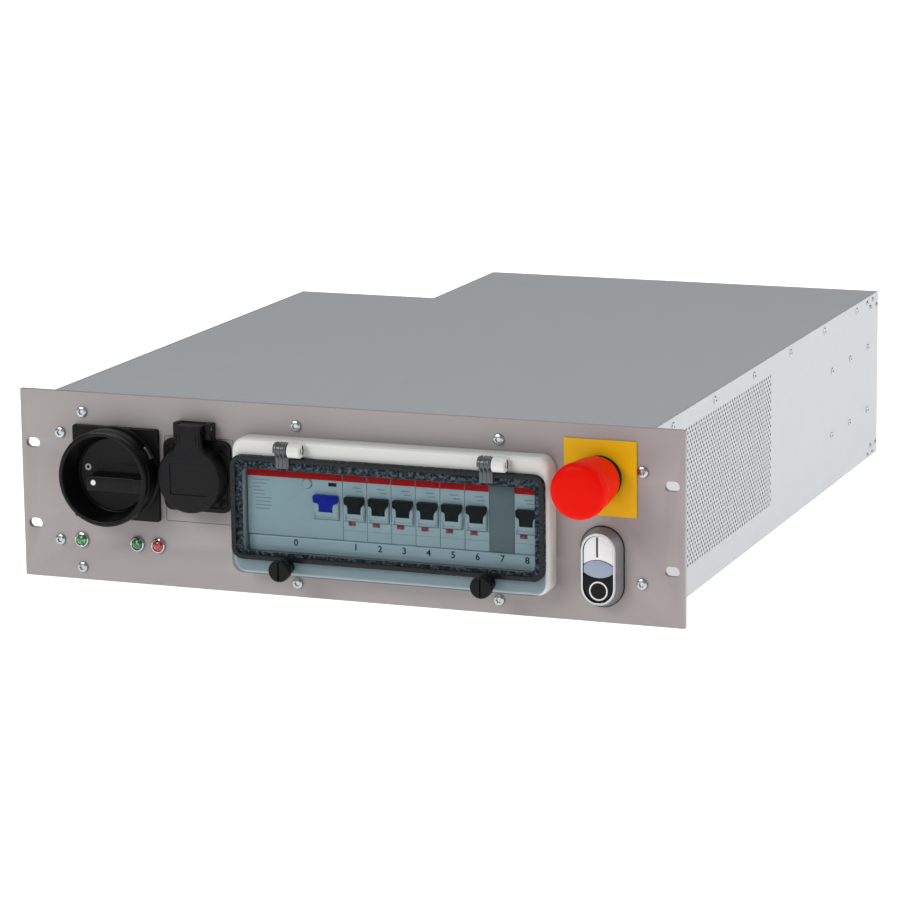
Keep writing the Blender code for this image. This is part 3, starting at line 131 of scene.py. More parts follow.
class Recipe:
    """One material and the nodes that feed its shader."""

    def __init__(self, name, colour, **constants):
        self.material = bpy.data.materials.new(name)
        self.material.use_nodes = True
        self.material.diffuse_color = (*colour, 1)
        self.tree = self.material.node_tree
        self.tree.nodes.clear()
        self.shader = self.tree.nodes.new("ShaderNodeBsdfPrincipled")
        output = self.tree.nodes.new("ShaderNodeOutputMaterial")
        self.tree.links.new(self.shader.outputs[0], output.inputs["Surface"])
        self.colour = colour
        self.coat(Base_Color=(*colour, 1), **constants)

    def coat(self, **values):
        """Sets or links the shader's own sockets."""
        for key, value in values.items():
            self.feed(self.shader.inputs[key.replace("_", " ")], value)

    def feed(self, socket, value):
        if isinstance(value, Signal):
            self.tree.links.new(value.socket, socket)
        elif value is not None:
            socket.default_value = value

    def node(self, kind, settings=None, *values, output=0, **named):
        made = self.tree.nodes.new(kind)
        for key, value in (settings or {}).items():
            setattr(made, key, value)
        for index, value in enumerate(values):
            self.feed(made.inputs[index], value)
        for key, value in named.items():
            self.feed(made.inputs[key.replace("_", " ")], value)
        return Signal(self, made.outputs[output])

    def place(self, scale=(1, 1, 1)):
        """Object coordinates, stretched along the axes."""
        where = self.node("ShaderNodeTexCoord", output=3)
        return self.node("ShaderNodeMapping", None, where, Scale=scale)

    def noise(self, scale, detail=3.0, stretch=(1, 1, 1), roughness=0.5):
        return self.node("ShaderNodeTexNoise", None, Vector=self.place(stretch), Scale=scale,
                         Detail=detail, Roughness=roughness)

    def cells(self, scale):
        return self.node("ShaderNodeTexVoronoi", {"feature": "F1"}, Vector=self.place(), Scale=scale)

    def steps(self, signal, low, high):
        """The signal spread from 0 at low to 1 at high."""
        return self.node("ShaderNodeMapRange", {"clamp": True}, signal, low, high, 0.0, 1.0)

    def mixed(self, factor, first, second):
        made = self.tree.nodes.new("ShaderNodeMix")
        made.data_type = "RGBA"
        for socket, value in zip((made.inputs[0], made.inputs[6], made.inputs[7]), (factor, first, second)):
            self.feed(socket, (*value, 1) if isinstance(value, tuple) and len(value) == 3 else value)
        return Signal(self, made.outputs[2])

    def shade(self, factor, depth):
        """The base colour, darker by depth where factor is 0."""
        dark = tuple(value * (1 - depth) for value in self.colour)
        light = tuple(min(value * (1 + depth), 1.0) for value in self.colour)
        return self.mixed(factor, dark, light)

    def bump(self, height, strength, distance):
        return self.node("ShaderNodeBump", None, Height=height, Strength=strength, Distance=distance)


def grained(name, colour, rough, grain=1400.0, bump=0.25, depth=0.00006, drift=0.03, spread=0.12, **more):
    """Paint or moulded plastic with a fine grain and a slow drift of tone."""
    recipe = Recipe(name, colour, **more)
    fine = recipe.noise(grain, 2.0)
    slow = recipe.noise(14.0, 2.0)
    recipe.coat(Base_Color=recipe.shade(slow * 0.7 + fine * 0.3, drift),
                Roughness=rough + (fine - 0.5) * spread + (slow - 0.5) * spread,
                Normal=recipe.bump(fine, bump, depth))
    return recipe.material


def brushed(name, colour, rough, along=(1, 1, 1), scale=900.0, drift=0.05, metal=1.0, **more):
    """Metal with fine lines along one direction."""
    recipe = Recipe(name, colour, Metallic=metal, **more)
    lines = recipe.noise(scale, 2.0, along)
    patches = recipe.noise(60.0, 3.0)
    recipe.coat(Base_Color=recipe.shade(lines * 0.5 + patches * 0.5, drift),
                Roughness=rough + (lines - 0.5) * 0.15 + (patches - 0.5) * 0.1,
                Normal=recipe.bump(lines, 0.12, 0.00004))
    return recipe.material


def stippled(name, colour, rough, scale, strength, glints=0.0, **more):
    """Black plastic with a raised pebble texture, its pebble crowns painted paler as a painted highlight."""
    recipe = Recipe(name, colour, **more)
    pebbles = recipe.cells(scale)
    fine = recipe.noise(scale * 1.7, 2.0)
    # painted highlight: the pebble crowns get a paler base colour in place of light caught on them
    painted_glint_mask = recipe.steps(pebbles * 0.6 + fine * 0.4, 0.34, 0.2)
    pale = tuple(value + glints for value in colour)
    recipe.coat(Base_Color=recipe.mixed(painted_glint_mask, colour, pale), Roughness=rough - painted_glint_mask * 0.12,
                Normal=recipe.bump(1 - pebbles, strength, 0.00018))
    return recipe.material


def speckled_foam(name, colour):
    """Black foam seen through the pane, with pale flecks where it touches."""
    recipe = Recipe(name, colour, Specular_IOR_Level=0.15)
    flecks = recipe.noise(520.0, 4.0, roughness=0.85)
    contact = recipe.steps(flecks, 0.48, 0.6)
    recipe.coat(Base_Color=recipe.mixed(contact, colour, (0.30, 0.30, 0.33)),
                Roughness=0.75 - contact * 0.2, Normal=recipe.bump(flecks, 0.5, 0.0003))
    return recipe.material


def see_through(name, colour, haze=0.005, gloss=0.045):
    """Clear plastic that tints what is behind it, with a thin reflection and a little haze."""
    recipe = Recipe(name, (0.8, 0.85, 0.86), IOR=1.49)
    dust = recipe.noise(35.0, 4.0)
    recipe.coat(Roughness=0.04 + dust * 0.05, Base_Color=recipe.shade(dust, 0.03))
    clear = recipe.tree.nodes.new("ShaderNodeBsdfTransparent")
    clear.inputs["Color"].default_value = (*colour, 1)
    share = recipe.tree.nodes.new("ShaderNodeMixShader")
    fresnel = recipe.node("ShaderNodeFresnel", None, 1.49)
    recipe.feed(share.inputs[0], fresnel * gloss + dust * haze)
    recipe.tree.links.new(clear.outputs[0], share.inputs[1])
    recipe.tree.links.new(recipe.shader.outputs[0], share.inputs[2])
    recipe.tree.links.new(share.outputs[0], recipe.tree.nodes["Material Output"].inputs["Surface"])
    return recipe.material


def glowing_floor(name, colour):
    """A white studio floor that gives off a little light of its own."""
    recipe = Recipe(name, colour, Roughness=0.7, Emission_Color=(1, 1, 1, 1), Emission_Strength=0.82)
    grain = recipe.noise(30.0, 2.0)
    recipe.coat(Base_Color=recipe.shade(grain, 0.005), Normal=recipe.bump(grain, 0.02, 0.0002))
    return recipe.material


def glowing_lens(name, colour, highlight_colour):
    """A coloured lens with ribs behind it, painted brighter at some ribs as painted highlights."""
    recipe = Recipe(name, colour, Coat_Weight=0.6, Coat_Roughness=0.04, IOR=1.5)
    ribs = recipe.cells(620.0)
    # painted highlight: the rib cells get the lighter highlight colour in place of real reflections
    bright = recipe.steps(ribs, 0.45, 0.1)
    recipe.coat(Base_Color=recipe.mixed(bright, colour, highlight_colour), Roughness=0.12 + ribs * 0.1,
                Normal=recipe.bump(ribs, 0.4, 0.0003))
    return recipe.material


FINISHES = {
    "panel": lambda c: grained("panel_powder_coat", c, 0.5, 1500.0, 0.35, 0.00007, 0.02),
    "sheet": lambda c: brushed("satin_sheet", c, 0.42, (60, 1, 60), 22.0, 0.02, 0.15),
    "inner_sheet": lambda c: brushed("zinc_sheet", c, 0.4, (1, 1, 1), 90.0, 0.12, 0.8),
    "housing": lambda c: grained("housing_plastic", c, 0.42, 1100.0, 0.3, 0.00008, 0.02),
    "breaker": lambda c: grained("breaker_plastic", c, 0.4, 1700.0, 0.2, 0.00005, 0.02),
    "blank": lambda c: grained("blank_plastic", c, 0.5, 1200.0, 0.3, 0.00008, 0.04),
    "black": lambda c: grained("black_satin", c, 0.3, 1300.0, 0.3, 0.00007, 0.15, 0.12, Specular_IOR_Level=0.13),
    "stipple": lambda c: stippled("black_stipple", c, 0.42, 1150.0, 0.6, 0.02, Specular_IOR_Level=0.14),
    "soft": lambda c: grained("soft_black", c, 0.7, 700.0, 0.5, 0.0001, 0.2, Specular_IOR_Level=0.1),
    "foam": lambda c: speckled_foam("speckled_foam", c),
    "band": lambda c: grained("gloss_band", c, 0.28, 500.0, 0.15, 0.00008, 0.1, Specular_IOR_Level=0.2),
    "blue": lambda c: grained("blue_plastic", c, 0.3, 900.0, 0.15, 0.00005, 0.06, Specular_IOR_Level=0.15),
    "red": lambda c: grained("signal_red", c, 0.38, 1200.0, 0.2, 0.00005, 0.02, Specular_IOR_Level=0.06),
    "red_print": lambda c: grained("red_band", c, 0.4, 1500.0, 0.1, 0.00004, 0.05, Specular_IOR_Level=0.05),
    "yellow": lambda c: grained("signal_yellow", c, 0.5, 1300.0, 0.25, 0.00005, 0.02, Specular_IOR_Level=0.15),
    "zinc": lambda c: brushed("bright_zinc", c, 0.26, (1, 1, 1), 420.0, 0.15),
    "satin_metal": lambda c: brushed("satin_metal", c, 0.33, (1, 1, 12), 260.0, 0.06),
    "chrome": lambda c: brushed("chrome", c, 0.12, (1, 1, 1), 300.0, 0.05),
    "white": lambda c: grained("white_plastic", c, 0.28, 900.0, 0.12, 0.00005, 0.02),
    "label": lambda c: grained("label_plastic", c, 0.22, 600.0, 0.1, 0.00005, 0.03, Coat_Weight=0.5),
    "lens": lambda c: grained("diffusing_lens", c, 0.25, 1600.0, 0.25, 0.00006, 0.04, Coat_Weight=0.3),
    # the lenses' third value is their painted highlight colour
    "green_lamp": lambda c: glowing_lens("green_lens", c, (0.25, 0.75, 0.4)),
    "red_lamp": lambda c: glowing_lens("red_lens", c, (0.9, 0.2, 0.15)),
    "pane": lambda c: see_through("tinted_pane", c),
    "smoky": lambda c: grained("smoky_plastic", c, 0.22, 500.0, 0.1, 0.00006, 0.3, Specular_IOR_Level=0.4),
    "ink": lambda c: grained("printed_ink", c, 0.5, 2200.0, 0.1, 0.00002, 0.1),
    "pale_ink": lambda c: grained("pale_ink", c, 0.45, 2200.0, 0.1, 0.00002, 0.05),
    "faint_ink": lambda c: grained("faint_ink", c, 0.5, 2200.0, 0.1, 0.00002, 0.05),
    "floor": lambda c: glowing_floor("pale_floor", c),
}


def finish(name):
    """The named finish in the colour that the sidebar gives it, made once."""
    key = "rack_" + name
    if key not in MADE:
        MADE[key] = FINISHES[name](tuple(getattr(bpy.context.scene.rack_colours, name)))
    return MADE[key]


MADE = {}


# Shapes, each a closed bmesh

def moved_verts(result):
    return [item for item in result["geom"] if isinstance(item, bmesh.types.BMVert)]


def softened(shape, rim, segments=2, where=None):
    """Rounds the sharp edges, or those of them that where accepts."""
    sharp = [edge for edge in shape.edges if edge.is_manifold and edge.calc_face_angle(0) > SHARP
             and (where is None or where(edge))]
    if rim and sharp:
        bmesh.ops.bevel(shape, geom=sharp, offset=rim, offset_type="OFFSET", segments=segments,
                        profile=0.5, affect="EDGES", material=-1, clamp_overlap=True)
    return shape


def extruded(outline, front, back):
    """An upright slab of the (x, z) outline between two depths."""
    shape = bmesh.new()
    face = shape.faces.new([shape.verts.new((x, back, z)) for x, z in outline])
    grown = bmesh.ops.extrude_face_region(shape, geom=[face])
    bmesh.ops.translate(shape, verts=moved_verts(grown), vec=(0, front - back, 0))
    bmesh.ops.recalc_face_normals(shape, faces=shape.faces)
    return shape


def at_front(front):
    return lambda edge: all(abs(vert.co.y - front) < TINY for vert in edge.verts)


def plate(outline, front, back, rim=0.3, segments=3):
    """A slab whose front edge is rounded."""
    return softened(extruded(outline, front, back), rim, segments, at_front(front))


def block(x, y, z, rim=0.2, segments=2):
    shape = bmesh.new()
    bmesh.ops.create_cube(shape, size=1.0)
    low, high = Vector((min(x), min(y), min(z))), Vector((max(x), max(y), max(z)))
    bmesh.ops.scale(shape, vec=high - low, verts=shape.verts)
    bmesh.ops.translate(shape, vec=(low + high) / 2, verts=shape.verts)
    return softened(shape, rim, segments)


def around(centre, width):
    return centre - width / 2, centre + width / 2


def rounded(x, z, radius, steps=8):
    """A rectangle's outline with round corners."""
    outline = []
    corners = ((x[1] - radius, z[1] - radius), (x[0] + radius, z[1] - radius),
               (x[0] + radius, z[0] + radius), (x[1] - radius, z[0] + radius))
    for quarter, (cx, cz) in enumerate(corners):
        for step in range(steps + 1):
            angle = math.pi / 2 * (quarter + step / steps)
            outline.append((cx + radius * math.cos(angle), cz + radius * math.sin(angle)))
    return outline


def circle(x, z, radius, steps=64):
    return [(x + radius * math.cos(math.tau * n / steps), z + radius * math.sin(math.tau * n / steps))
            for n in range(steps)]


def ringed(outer, inner, front, back, rim=0.3, segments=3, inner_rim=None):
    """A frame between two outlines with the same number of points, its front edges rounded."""
    shape = bmesh.new()
    loops = []
    for outline in (outer, inner):
        verts = [shape.verts.new((x, back, z)) for x, z in outline]
        loops.append([shape.edges.new(pair) for pair in zip(verts, verts[1:] + verts[:1])])
    holes = {(round(vert.co.x, 3), round(vert.co.z, 3)) for edge in loops[1] for vert in edge.verts}
    bmesh.ops.bridge_loops(shape, edges=loops[0] + loops[1])
    grown = bmesh.ops.extrude_face_region(shape, geom=shape.faces[:])
    bmesh.ops.translate(shape, verts=moved_verts(grown), vec=(0, front - back, 0))
    bmesh.ops.recalc_face_normals(shape, faces=shape.faces)

    def is_inner(edge):
        return all((round(vert.co.x, 3), round(vert.co.z, 3)) in holes for vert in edge.verts)

    front_edge = at_front(front)
    inner_edges = [edge for edge in shape.edges if front_edge(edge) and is_inner(edge)]
    outer_edges = [edge for edge in shape.edges if front_edge(edge) and not is_inner(edge)
                   and edge.calc_face_angle(0) > SHARP]
    for edges, width in ((outer_edges, rim), (inner_edges, rim if inner_rim is None else inner_rim)):
        if width:
            bmesh.ops.bevel(shape, geom=[edge for edge in edges if edge.is_valid], offset=width,
                            offset_type="OFFSET", segments=segments, profile=0.5, affect="EDGES",
                            material=-1, clamp_overlap=True)
    return shape


def turned(profile, centre, axis="Y", steps=64, closed=False):
    """A (radius, along) profile spun round an axis through centre. A closed profile makes a ring."""
    shape = bmesh.new()
    verts = [shape.verts.new((radius, along, 0)) for radius, along in profile]
    pairs = list(zip(verts, verts[1:])) + ([(verts[-1], verts[0])] if closed else [])
    edges = [shape.edges.new(pair) for pair in pairs]
    bmesh.ops.spin(shape, geom=verts + edges, cent=(0, 0, 0), axis=(0, 1, 0), dvec=(0, 0, 0),
                   angle=math.tau, steps=steps, use_merge=True)
    bmesh.ops.remove_doubles(shape, verts=shape.verts, dist=0.001)
    if axis == "X":
        bmesh.ops.rotate(shape, verts=shape.verts, cent=(0, 0, 0), matrix=Matrix.Rotation(-math.pi / 2, 3, "Z"))
    bmesh.ops.recalc_face_normals(shape, faces=shape.faces)
    bmesh.ops.translate(shape, verts=shape.verts, vec=centre)
    return shape


def copied(node, rim=0.3, segments=2):
    """A CAD node's shape with its edges rounded."""
    shape = bmesh.new()
    shape.from_mesh(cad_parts[node].data)
    bmesh.ops.translate(shape, verts=shape.verts, vec=(0, -FACE, 0))
    bmesh.ops.scale(shape, verts=shape.verts, vec=(1 / MM,) * 3)
    bmesh.ops.remove_doubles(shape, verts=shape.verts, dist=0.002)
    bmesh.ops.dissolve_limit(shape, angle_limit=math.radians(1), verts=shape.verts, edges=shape.edges)
    softened(shape, rim, segments)
    return shape


def joined(*shapes):
    whole = bmesh.new()
    for shape in shapes:
        part = bpy.data.meshes.new("part")
        shape.to_mesh(part)
        shape.free()
        whole.from_mesh(part)
        bpy.data.meshes.remove(part)
    return whole


def sunk(shape, x, z, front, depth, wall):
    """Sinks a rectangle of the face at front."""
    def faces():
        return [face for face in shape.faces
                if all(abs(vert.co.y - front) < TINY for vert in face.verts)]

    for point, normal in (((x[0], 0, 0), (1, 0, 0)), ((x[1], 0, 0), (1, 0, 0)),
                          ((0, 0, z[0]), (0, 0, 1)), ((0, 0, z[1]), (0, 0, 1))):
        flat = faces()
        edges = list({edge for face in flat for edge in face.edges})
        verts = list({vert for face in flat for vert in face.verts})
        bmesh.ops.bisect_plane(shape, geom=verts + edges + flat, plane_co=point, plane_no=normal, dist=0.0001)

    def within(face):
        centre = face.calc_center_median()
        return x[0] < centre.x < x[1] and z[0] < centre.z < z[1]

    chosen = [face for face in faces() if within(face)]
    bmesh.ops.inset_region(shape, faces=chosen, thickness=wall, use_even_offset=True, use_boundary=True)
    for vert in {vert for face in chosen for vert in face.verts}:
        vert.co.y += depth
    return shape


def piece(name, shape, material, body, replaces=(), smooth=SHARP):
    """Turns a finished shape into an object that rides on a body."""
    bmesh.ops.scale(shape, verts=shape.verts, vec=(MM,) * 3)
    bmesh.ops.translate(shape, verts=shape.verts, vec=(0, FACE, 0))
    mesh = bpy.data.meshes.new(name)
    shape.to_mesh(mesh)
    shape.free()
    mesh.shade_smooth()
    mesh.set_sharp_from_angle(angle=smooth)
    mesh.materials.append(finish(material))
    made = bpy.data.objects.new(name, mesh)
    bpy.context.scene.collection.objects.link(made)
    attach(made, body)
    if replaces:
        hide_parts(*replaces)
    return made


def dress(material, *nodes):
    """Gives CAD nodes, whose shape stays, their finish."""
    for node in nodes:
        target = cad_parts[node]
        target.data.materials.clear()
        target.data.materials.append(finish(material))


def facing(shape, direction):
    """Turns a shape made to face the front so that it faces right (+1) or left (-1)."""
    bmesh.ops.rotate(shape, verts=shape.verts, cent=(0, 0, 0),
                     matrix=Matrix.Rotation(direction * math.pi / 2, 3, "Z"))
    return shape


def shifted(shape, vec):
    bmesh.ops.translate(shape, verts=shape.verts, vec=vec)
    return shape


def screw_head(radius, height, steps=24):
    """A domed head at the origin that faces the front, with a six-lobed recess."""
    recess = 0.48 * radius
    shape = turned([(0, 0.1), (radius, 0.1), (radius, -0.35 * height), (0.9 * radius, -0.72 * height),
                    (0.66 * radius, -0.95 * height), (recess, -height), (0.8 * recess, -0.35 * height),
                    (0, -0.3 * height)], (0, 0, 0), steps=steps)
    for vert in shape.verts:
        out = math.hypot(vert.co.x, vert.co.z)
        if TINY < out < recess + TINY and vert.co.y < -0.25 * height:
            lobe = 1 + 0.16 * math.cos(6 * math.atan2(vert.co.z, vert.co.x))
            vert.co.x *= lobe
            vert.co.z *= lobe
    return shape


def screws(name, places, radius, height, body="chassis", depth=0.0, material="zinc"):
    """Like screws on the panel's face or parallel to it, as one piece."""
    heads = [shifted(screw_head(radius, height), (x, depth, z)) for x, z in places]
    return piece(name, joined(*heads), material, body)


def numeral(text, size, x, z, front, thickness=0.08):
    """A printed figure standing a little proud of the surface."""
    curve = bpy.data.curves.new("numeral", "FONT")
    curve.body = text
    curve.size = size
    curve.align_x = "CENTER"
    curve.align_y = "CENTER"
    curve.extrude = thickness / 2
    curve.offset = 0.12
    holder = bpy.data.objects.new("numeral", curve)
    bpy.context.scene.collection.objects.link(holder)
    mesh = bpy.data.meshes.new_from_object(holder)
    bpy.data.objects.remove(holder)
    shape = bmesh.new()
    shape.from_mesh(mesh)
    bmesh.ops.remove_doubles(shape, verts=shape.verts, dist=0.0005)
    bmesh.ops.rotate(shape, verts=shape.verts, cent=(0, 0, 0), matrix=Matrix.Rotation(math.pi / 2, 3, "X"))
    return shifted(shape, (x, front - thickness / 2, z))


# Sizes and colours

def length(name, description, millimetres):
    return bpy.props.FloatProperty(name=name, description=description, default=millimetres * MM,
                                   unit="LENGTH", min=0.0, precision=4)


def colour(name, description, value):
    return bpy.props.FloatVectorProperty(name=name, description=description, default=value, size=3,
                                         subtype="COLOR", min=0.0, max=1.0)


class PanelSizes(bpy.types.PropertyGroup):
    screw_radius: length("Screw radius", "Head radius of the screws in the front panel", 3.9)
    screw_height: length("Screw height", "How far those heads stand out", 2.0)
    edge: length("Edge", "Rounding of the panel's edges", 0.35)


class CoverSizes(bpy.types.PropertyGroup):
    hole_radius: length("Hole radius", "Radius of each hole in the side panels", 1.25)
    pitch: length("Pitch", "Distance between holes in one row", 5.59)
    rise: length("Rise", "Height from one row to the next, which is half a pitch along", 3.03)
    screw_radius: length("Screw radius", "Head radius of the cover screws", 2.9)
    screw_height: length("Screw height", "How far those heads stand out", 0.9)


class SwitchSizes(bpy.types.PropertyGroup):
    rim: length("Rim", "Width of the knob's rim", 3.6)
    taper: length("Taper", "How far the cup's wall leans in down to its floor", 2.9)
    grip: length("Grip", "Height of the grip bar", 10.6)
    dot: length("Dot", "Radius of the white dot on the bar", 1.9)


class SocketSizes(bpy.types.PropertyGroup):
    lid_rim: length("Lid rim", "Rounding of the lid's edge", 1.6)
    field_depth: length("Field depth", "Depth of the rectangle sunk in the lid", 0.8)
    sticker_width: length("Sticker width", "Outlined label behind the socket", 51.5)
    sticker_height: length("Sticker height", "Outlined label behind the socket", 59.8)


class BreakerSizes(bpy.types.PropertyGroup):
    band: length("Band", "Height of the red band along the top", 4.6)
    status_width: length("Status width", "Width of the red status window", 5.2)
    figure: length("Figure", "Height of the figures on the label strip", 6.4)


class WindowSizes(bpy.types.PropertyGroup):
    edge: length("Edge", "Rounding of the housing's front edge", 3.0)
    band: length("Band", "Width of the smooth band round the pane", 3.6)
    band_height: length("Band height", "How far the band stands out of the pane", 0.9)
    rib: length("Rib", "Height of the ribs on the straps", 0.45)


class StopSizes(bpy.types.PropertyGroup):
    dome: length("Dome", "How far the cap's front swells", 2.4)
    neck: length("Neck", "Radius of the neck behind the cap", 18.0)


class ButtonSizes(bpy.types.PropertyGroup):
    edge: length("Edge", "Rounding of the bezel's front", 0.5)
    taper: length("Taper", "How far the bezel leans in from base to front", 2.8)
    mark: length("Mark", "Width of the printed marks", 1.4)


class LampSizes(bpy.types.PropertyGroup):
    bezel: length("Bezel", "Width of the bright ring round each lens", 1.3)


class RackColours(bpy.types.PropertyGroup):
    panel: colour("Panel", "Front panel's powder coat", (0.282, 0.258, 0.254))
    sheet: colour("Sheet", "Cover and side panels", (0.40, 0.42, 0.44))
    inner_sheet: colour("Inner sheet", "Rails and brackets inside", (0.5, 0.5, 0.48))
    housing: colour("Housing", "Window housing", (0.56, 0.565, 0.55))
    breaker: colour("Breaker", "Breaker cases", (0.66, 0.69, 0.69))
    blank: colour("Blank", "Blank module", (0.24, 0.26, 0.255))
    black: colour("Black", "Satin black plastic", (0.004, 0.004, 0.0045))
    stipple: colour("Stipple", "Textured black plastic", (0.005, 0.005, 0.006))
    soft: colour("Soft black", "Dull black parts", (0.02, 0.02, 0.022))
    foam: colour("Foam", "Seal behind the pane", (0.012, 0.012, 0.014))
    band: colour("Band", "Smooth band round the pane", (0.006, 0.008, 0.009))
    blue: colour("Blue", "Residual current lever", (0.0, 0.012, 0.42))
    red: colour("Red", "Emergency stop", (0.64, 0.004, 0.0))
    red_print: colour("Red band", "Red band on the breakers", (0.85, 0.0, 0.002))
    yellow: colour("Yellow", "Emergency stop's plate", (0.66, 0.37, 0.0))
    zinc: colour("Zinc", "Screws", (0.42, 0.45, 0.46))
    satin_metal: colour("Satin metal", "Pushbutton bezel", (0.42, 0.43, 0.45))
    chrome: colour("Chrome", "Lamp bezels", (0.5, 0.5, 0.5))
    white: colour("White", "White plastic", (0.64, 0.64, 0.65))
    label: colour("Label", "Label strip", (0.7, 0.73, 0.74))
    lens: colour("Lens", "Pushbutton's lens", (0.22, 0.27, 0.37))
    green_lamp: colour("Green lamp", "Green lenses", (0.005, 0.12, 0.03))
    red_lamp: colour("Red lamp", "Red lens", (0.30, 0.006, 0.006))
    pane: colour("Pane", "Window pane's tint", (0.713, 0.775, 0.796))
    smoky: colour("Smoky", "Hinge straps", (0.07, 0.075, 0.078))
    ink: colour("Ink", "Dark print", (0.012, 0.012, 0.014))
    pale_ink: colour("Pale ink", "White and pale print", (0.60, 0.60, 0.59))
    faint_ink: colour("Faint ink", "Grey print on the breakers", (0.36, 0.38, 0.39))
    floor: colour("Floor", "Floor under the unit", (0.86, 0.86, 0.86))


# Operators

class RACK_OT_panel(bpy.types.Operator):
    """Make the front panel with its screws"""
    bl_idname = "rack.panel"
    bl_label = "Front Panel"

    def execute(self, context):
        size = sizes(context, "rack_panel")
        low, high = span("front_panel")
        piece("panel", copied("front_panel", size.edge), "panel", "chassis", ["front_panel"])
        side = span("side_panel_right")[1].x
        top, bottom = high.z, low.z
        places = [(-side + 25.2, top - 13.7), (-side + 8.0, top - 29.2), (-side + 5.9, bottom + 27.2),
                  (-side + 22.4, bottom + 8.7), (side - 6.2, top - 29.2), (side - 6.9, bottom + 28.0)]
        for left in (span("hinge_strap_left")[0], span("hinge_strap_right")[0]):
            places += [(left.x + 6.6, top - 13.8), (left.x + 6.0, bottom + 9.6)]
        screws("panel_screws", places, size.screw_radius, size.screw_height)
        return {"FINISHED"}


class RACK_OT_cover(bpy.types.Operator):
    """Make the sheet metal box with perforated sides"""
    bl_idname = "rack.cover"
    bl_label = "Cover And Sides"

    def perforated(self, node, size):
        """A side panel with staggered rows of round holes."""
        low, high = span(node)
        shape = bmesh.new()
        half = size.pitch / 2
        for along, up in ((0, 0), (half, size.rise)):
            hole = bmesh.ops.create_circle(shape, cap_ends=False, segments=12, radius=size.hole_radius,
                                           matrix=Matrix.Rotation(math.pi / 2, 4, "X"))["verts"]
            bmesh.ops.translate(shape, verts=hole, vec=(along, 0, up))
            corners = [shape.verts.new((along + x * half, 0, up + z * size.rise / 2))
                       for x, z in ((-1, -1), (0, -1), (1, -1), (1, 1), (0, 1), (-1, 1))]
            rim = [shape.edges.new(pair) for pair in zip(corners, corners[1:] + corners[:1])]
            inner = [edge for edge in shape.edges if edge.verts[0] in hole and edge.verts[1] in hole]
            bmesh.ops.triangle_fill(shape, use_beauty=True, use_dissolve=False, edges=rim + inner)
        columns = 39
        rows = 32
        self.repeat(shape, columns, (size.pitch, 0, 0))
        self.repeat(shape, rows // 2, (0, 0, 2 * size.rise))
        reach = (columns - 1) * size.pitch
        for row in range(rows):
            x = -half if row % 2 else reach + half
            z = (row - 0.5) * size.rise
            corners = [shape.verts.new((x + a * half, 0, z + b * size.rise))
                       for a, b in ((0, 0), (1, 0), (1, 1), (0, 1))]
            shape.faces.new(corners)
        bmesh.ops.remove_doubles(shape, verts=shape.verts, dist=0.01)
        bmesh.ops.translate(shape, verts=shape.verts, vec=(57.5 + half, 0, 23.5))
        field = [edge for edge in shape.edges if edge.is_boundary and not self.on_hole(edge, size)]
        corners = [shape.verts.new((x, 0, z)) for x, z in
                   ((low.y, low.z), (high.y, low.z), (high.y, high.z), (low.y, high.z))]
        rim = [shape.edges.new(pair) for pair in zip(corners, corners[1:] + corners[:1])]
        bmesh.ops.triangle_fill(shape, use_beauty=True, use_dissolve=False, edges=field + rim)
        grown = bmesh.ops.extrude_face_region(shape, geom=shape.faces[:])
        bmesh.ops.translate(shape, verts=moved_verts(grown), vec=(0, high.x - low.x, 0))
        # from the front's plane to the side's: along becomes depth, depth becomes across
        bmesh.ops.transform(shape, verts=shape.verts,
                            matrix=Matrix(((0, 1, 0, low.x), (1, 0, 0, 0), (0, 0, 1, 0), (0, 0, 0, 1))))
        bmesh.ops.recalc_face_normals(shape, faces=shape.faces)
        piece(node + "_perforated", shape, "sheet", "chassis", [node])

    def on_hole(self, edge, size):
        return edge.calc_length() < 0.6 * size.hole_radius

    def repeat(self, shape, count, step):
        unit = shape.verts[:] + shape.edges[:] + shape.faces[:]
        for number in range(1, count):
            copy = bmesh.ops.duplicate(shape, geom=unit)
            bmesh.ops.translate(shape, verts=moved_verts(copy), vec=Vector(step) * number)

    def side_screws(self, name, node, outward, places, size):
        edge = span(node)[1].x if outward > 0 else span(node)[0].x
        heads = [shifted(facing(screw_head(size.screw_radius * scale, size.screw_height, 16), outward),
                         (edge, y, z)) for y, z, scale in places]
        piece(name, joined(*heads), "zinc", "chassis")

    def execute(self, context):
        size = sizes(context, "rack_cover")
        for node in ("bottom_tray", "front_top_rail", "top_cover", "notch_side_panel", "notch_rear_panel",
                     "rear_panel"):
            piece(node + "_sheet", copied(node, 0.25, 1), "sheet", "chassis", [node])
        self.perforated("side_panel_right", size)
        self.perforated("side_panel_left", size)
        edge = [(44.8, 125.5, 1), (139.2, 125.5, 1), (234.0, 125.5, 1), (327.5, 125.5, 1), (420.8, 125.5, 1),
                (514.8, 125.5, 1)]
        rear = [(y, z, 0.9) for y in (443.0, 496.0, 549.0) for z in (91.4, 41.2)]
        corner = [(546, 127, 0.7), (563, 127.3, 0.7), (574.5, 121.2, 0.7), (555.5, 122.2, 0.7),
                  (575.6, 10, 0.7), (560.2, 10, 0.7), (566, 4, 0.5), (551, 4.5, 0.5)]
        self.side_screws("side_screws_right", "side_panel_right", 1, edge + rear + corner, size)
        front = [(y, z, s) for y, z, s in edge if y < 400] + [(436.0, 121.2, 0.7), (436.0, 10.0, 0.7)]
        self.side_screws("side_screws_left", "side_panel_left", -1, front, size)
        back = span("rear_panel")[1].y
        heads = [shifted(facing(facing(screw_head(size.screw_radius, size.screw_height, 16), 1), 1),
                         (x, back, z)) for x in (-95.0, 150.0, 207.0) for z in (12.0, 120.0)]
        piece("rear_screws", joined(*heads), "zinc", "chassis")
        return {"FINISHED"}


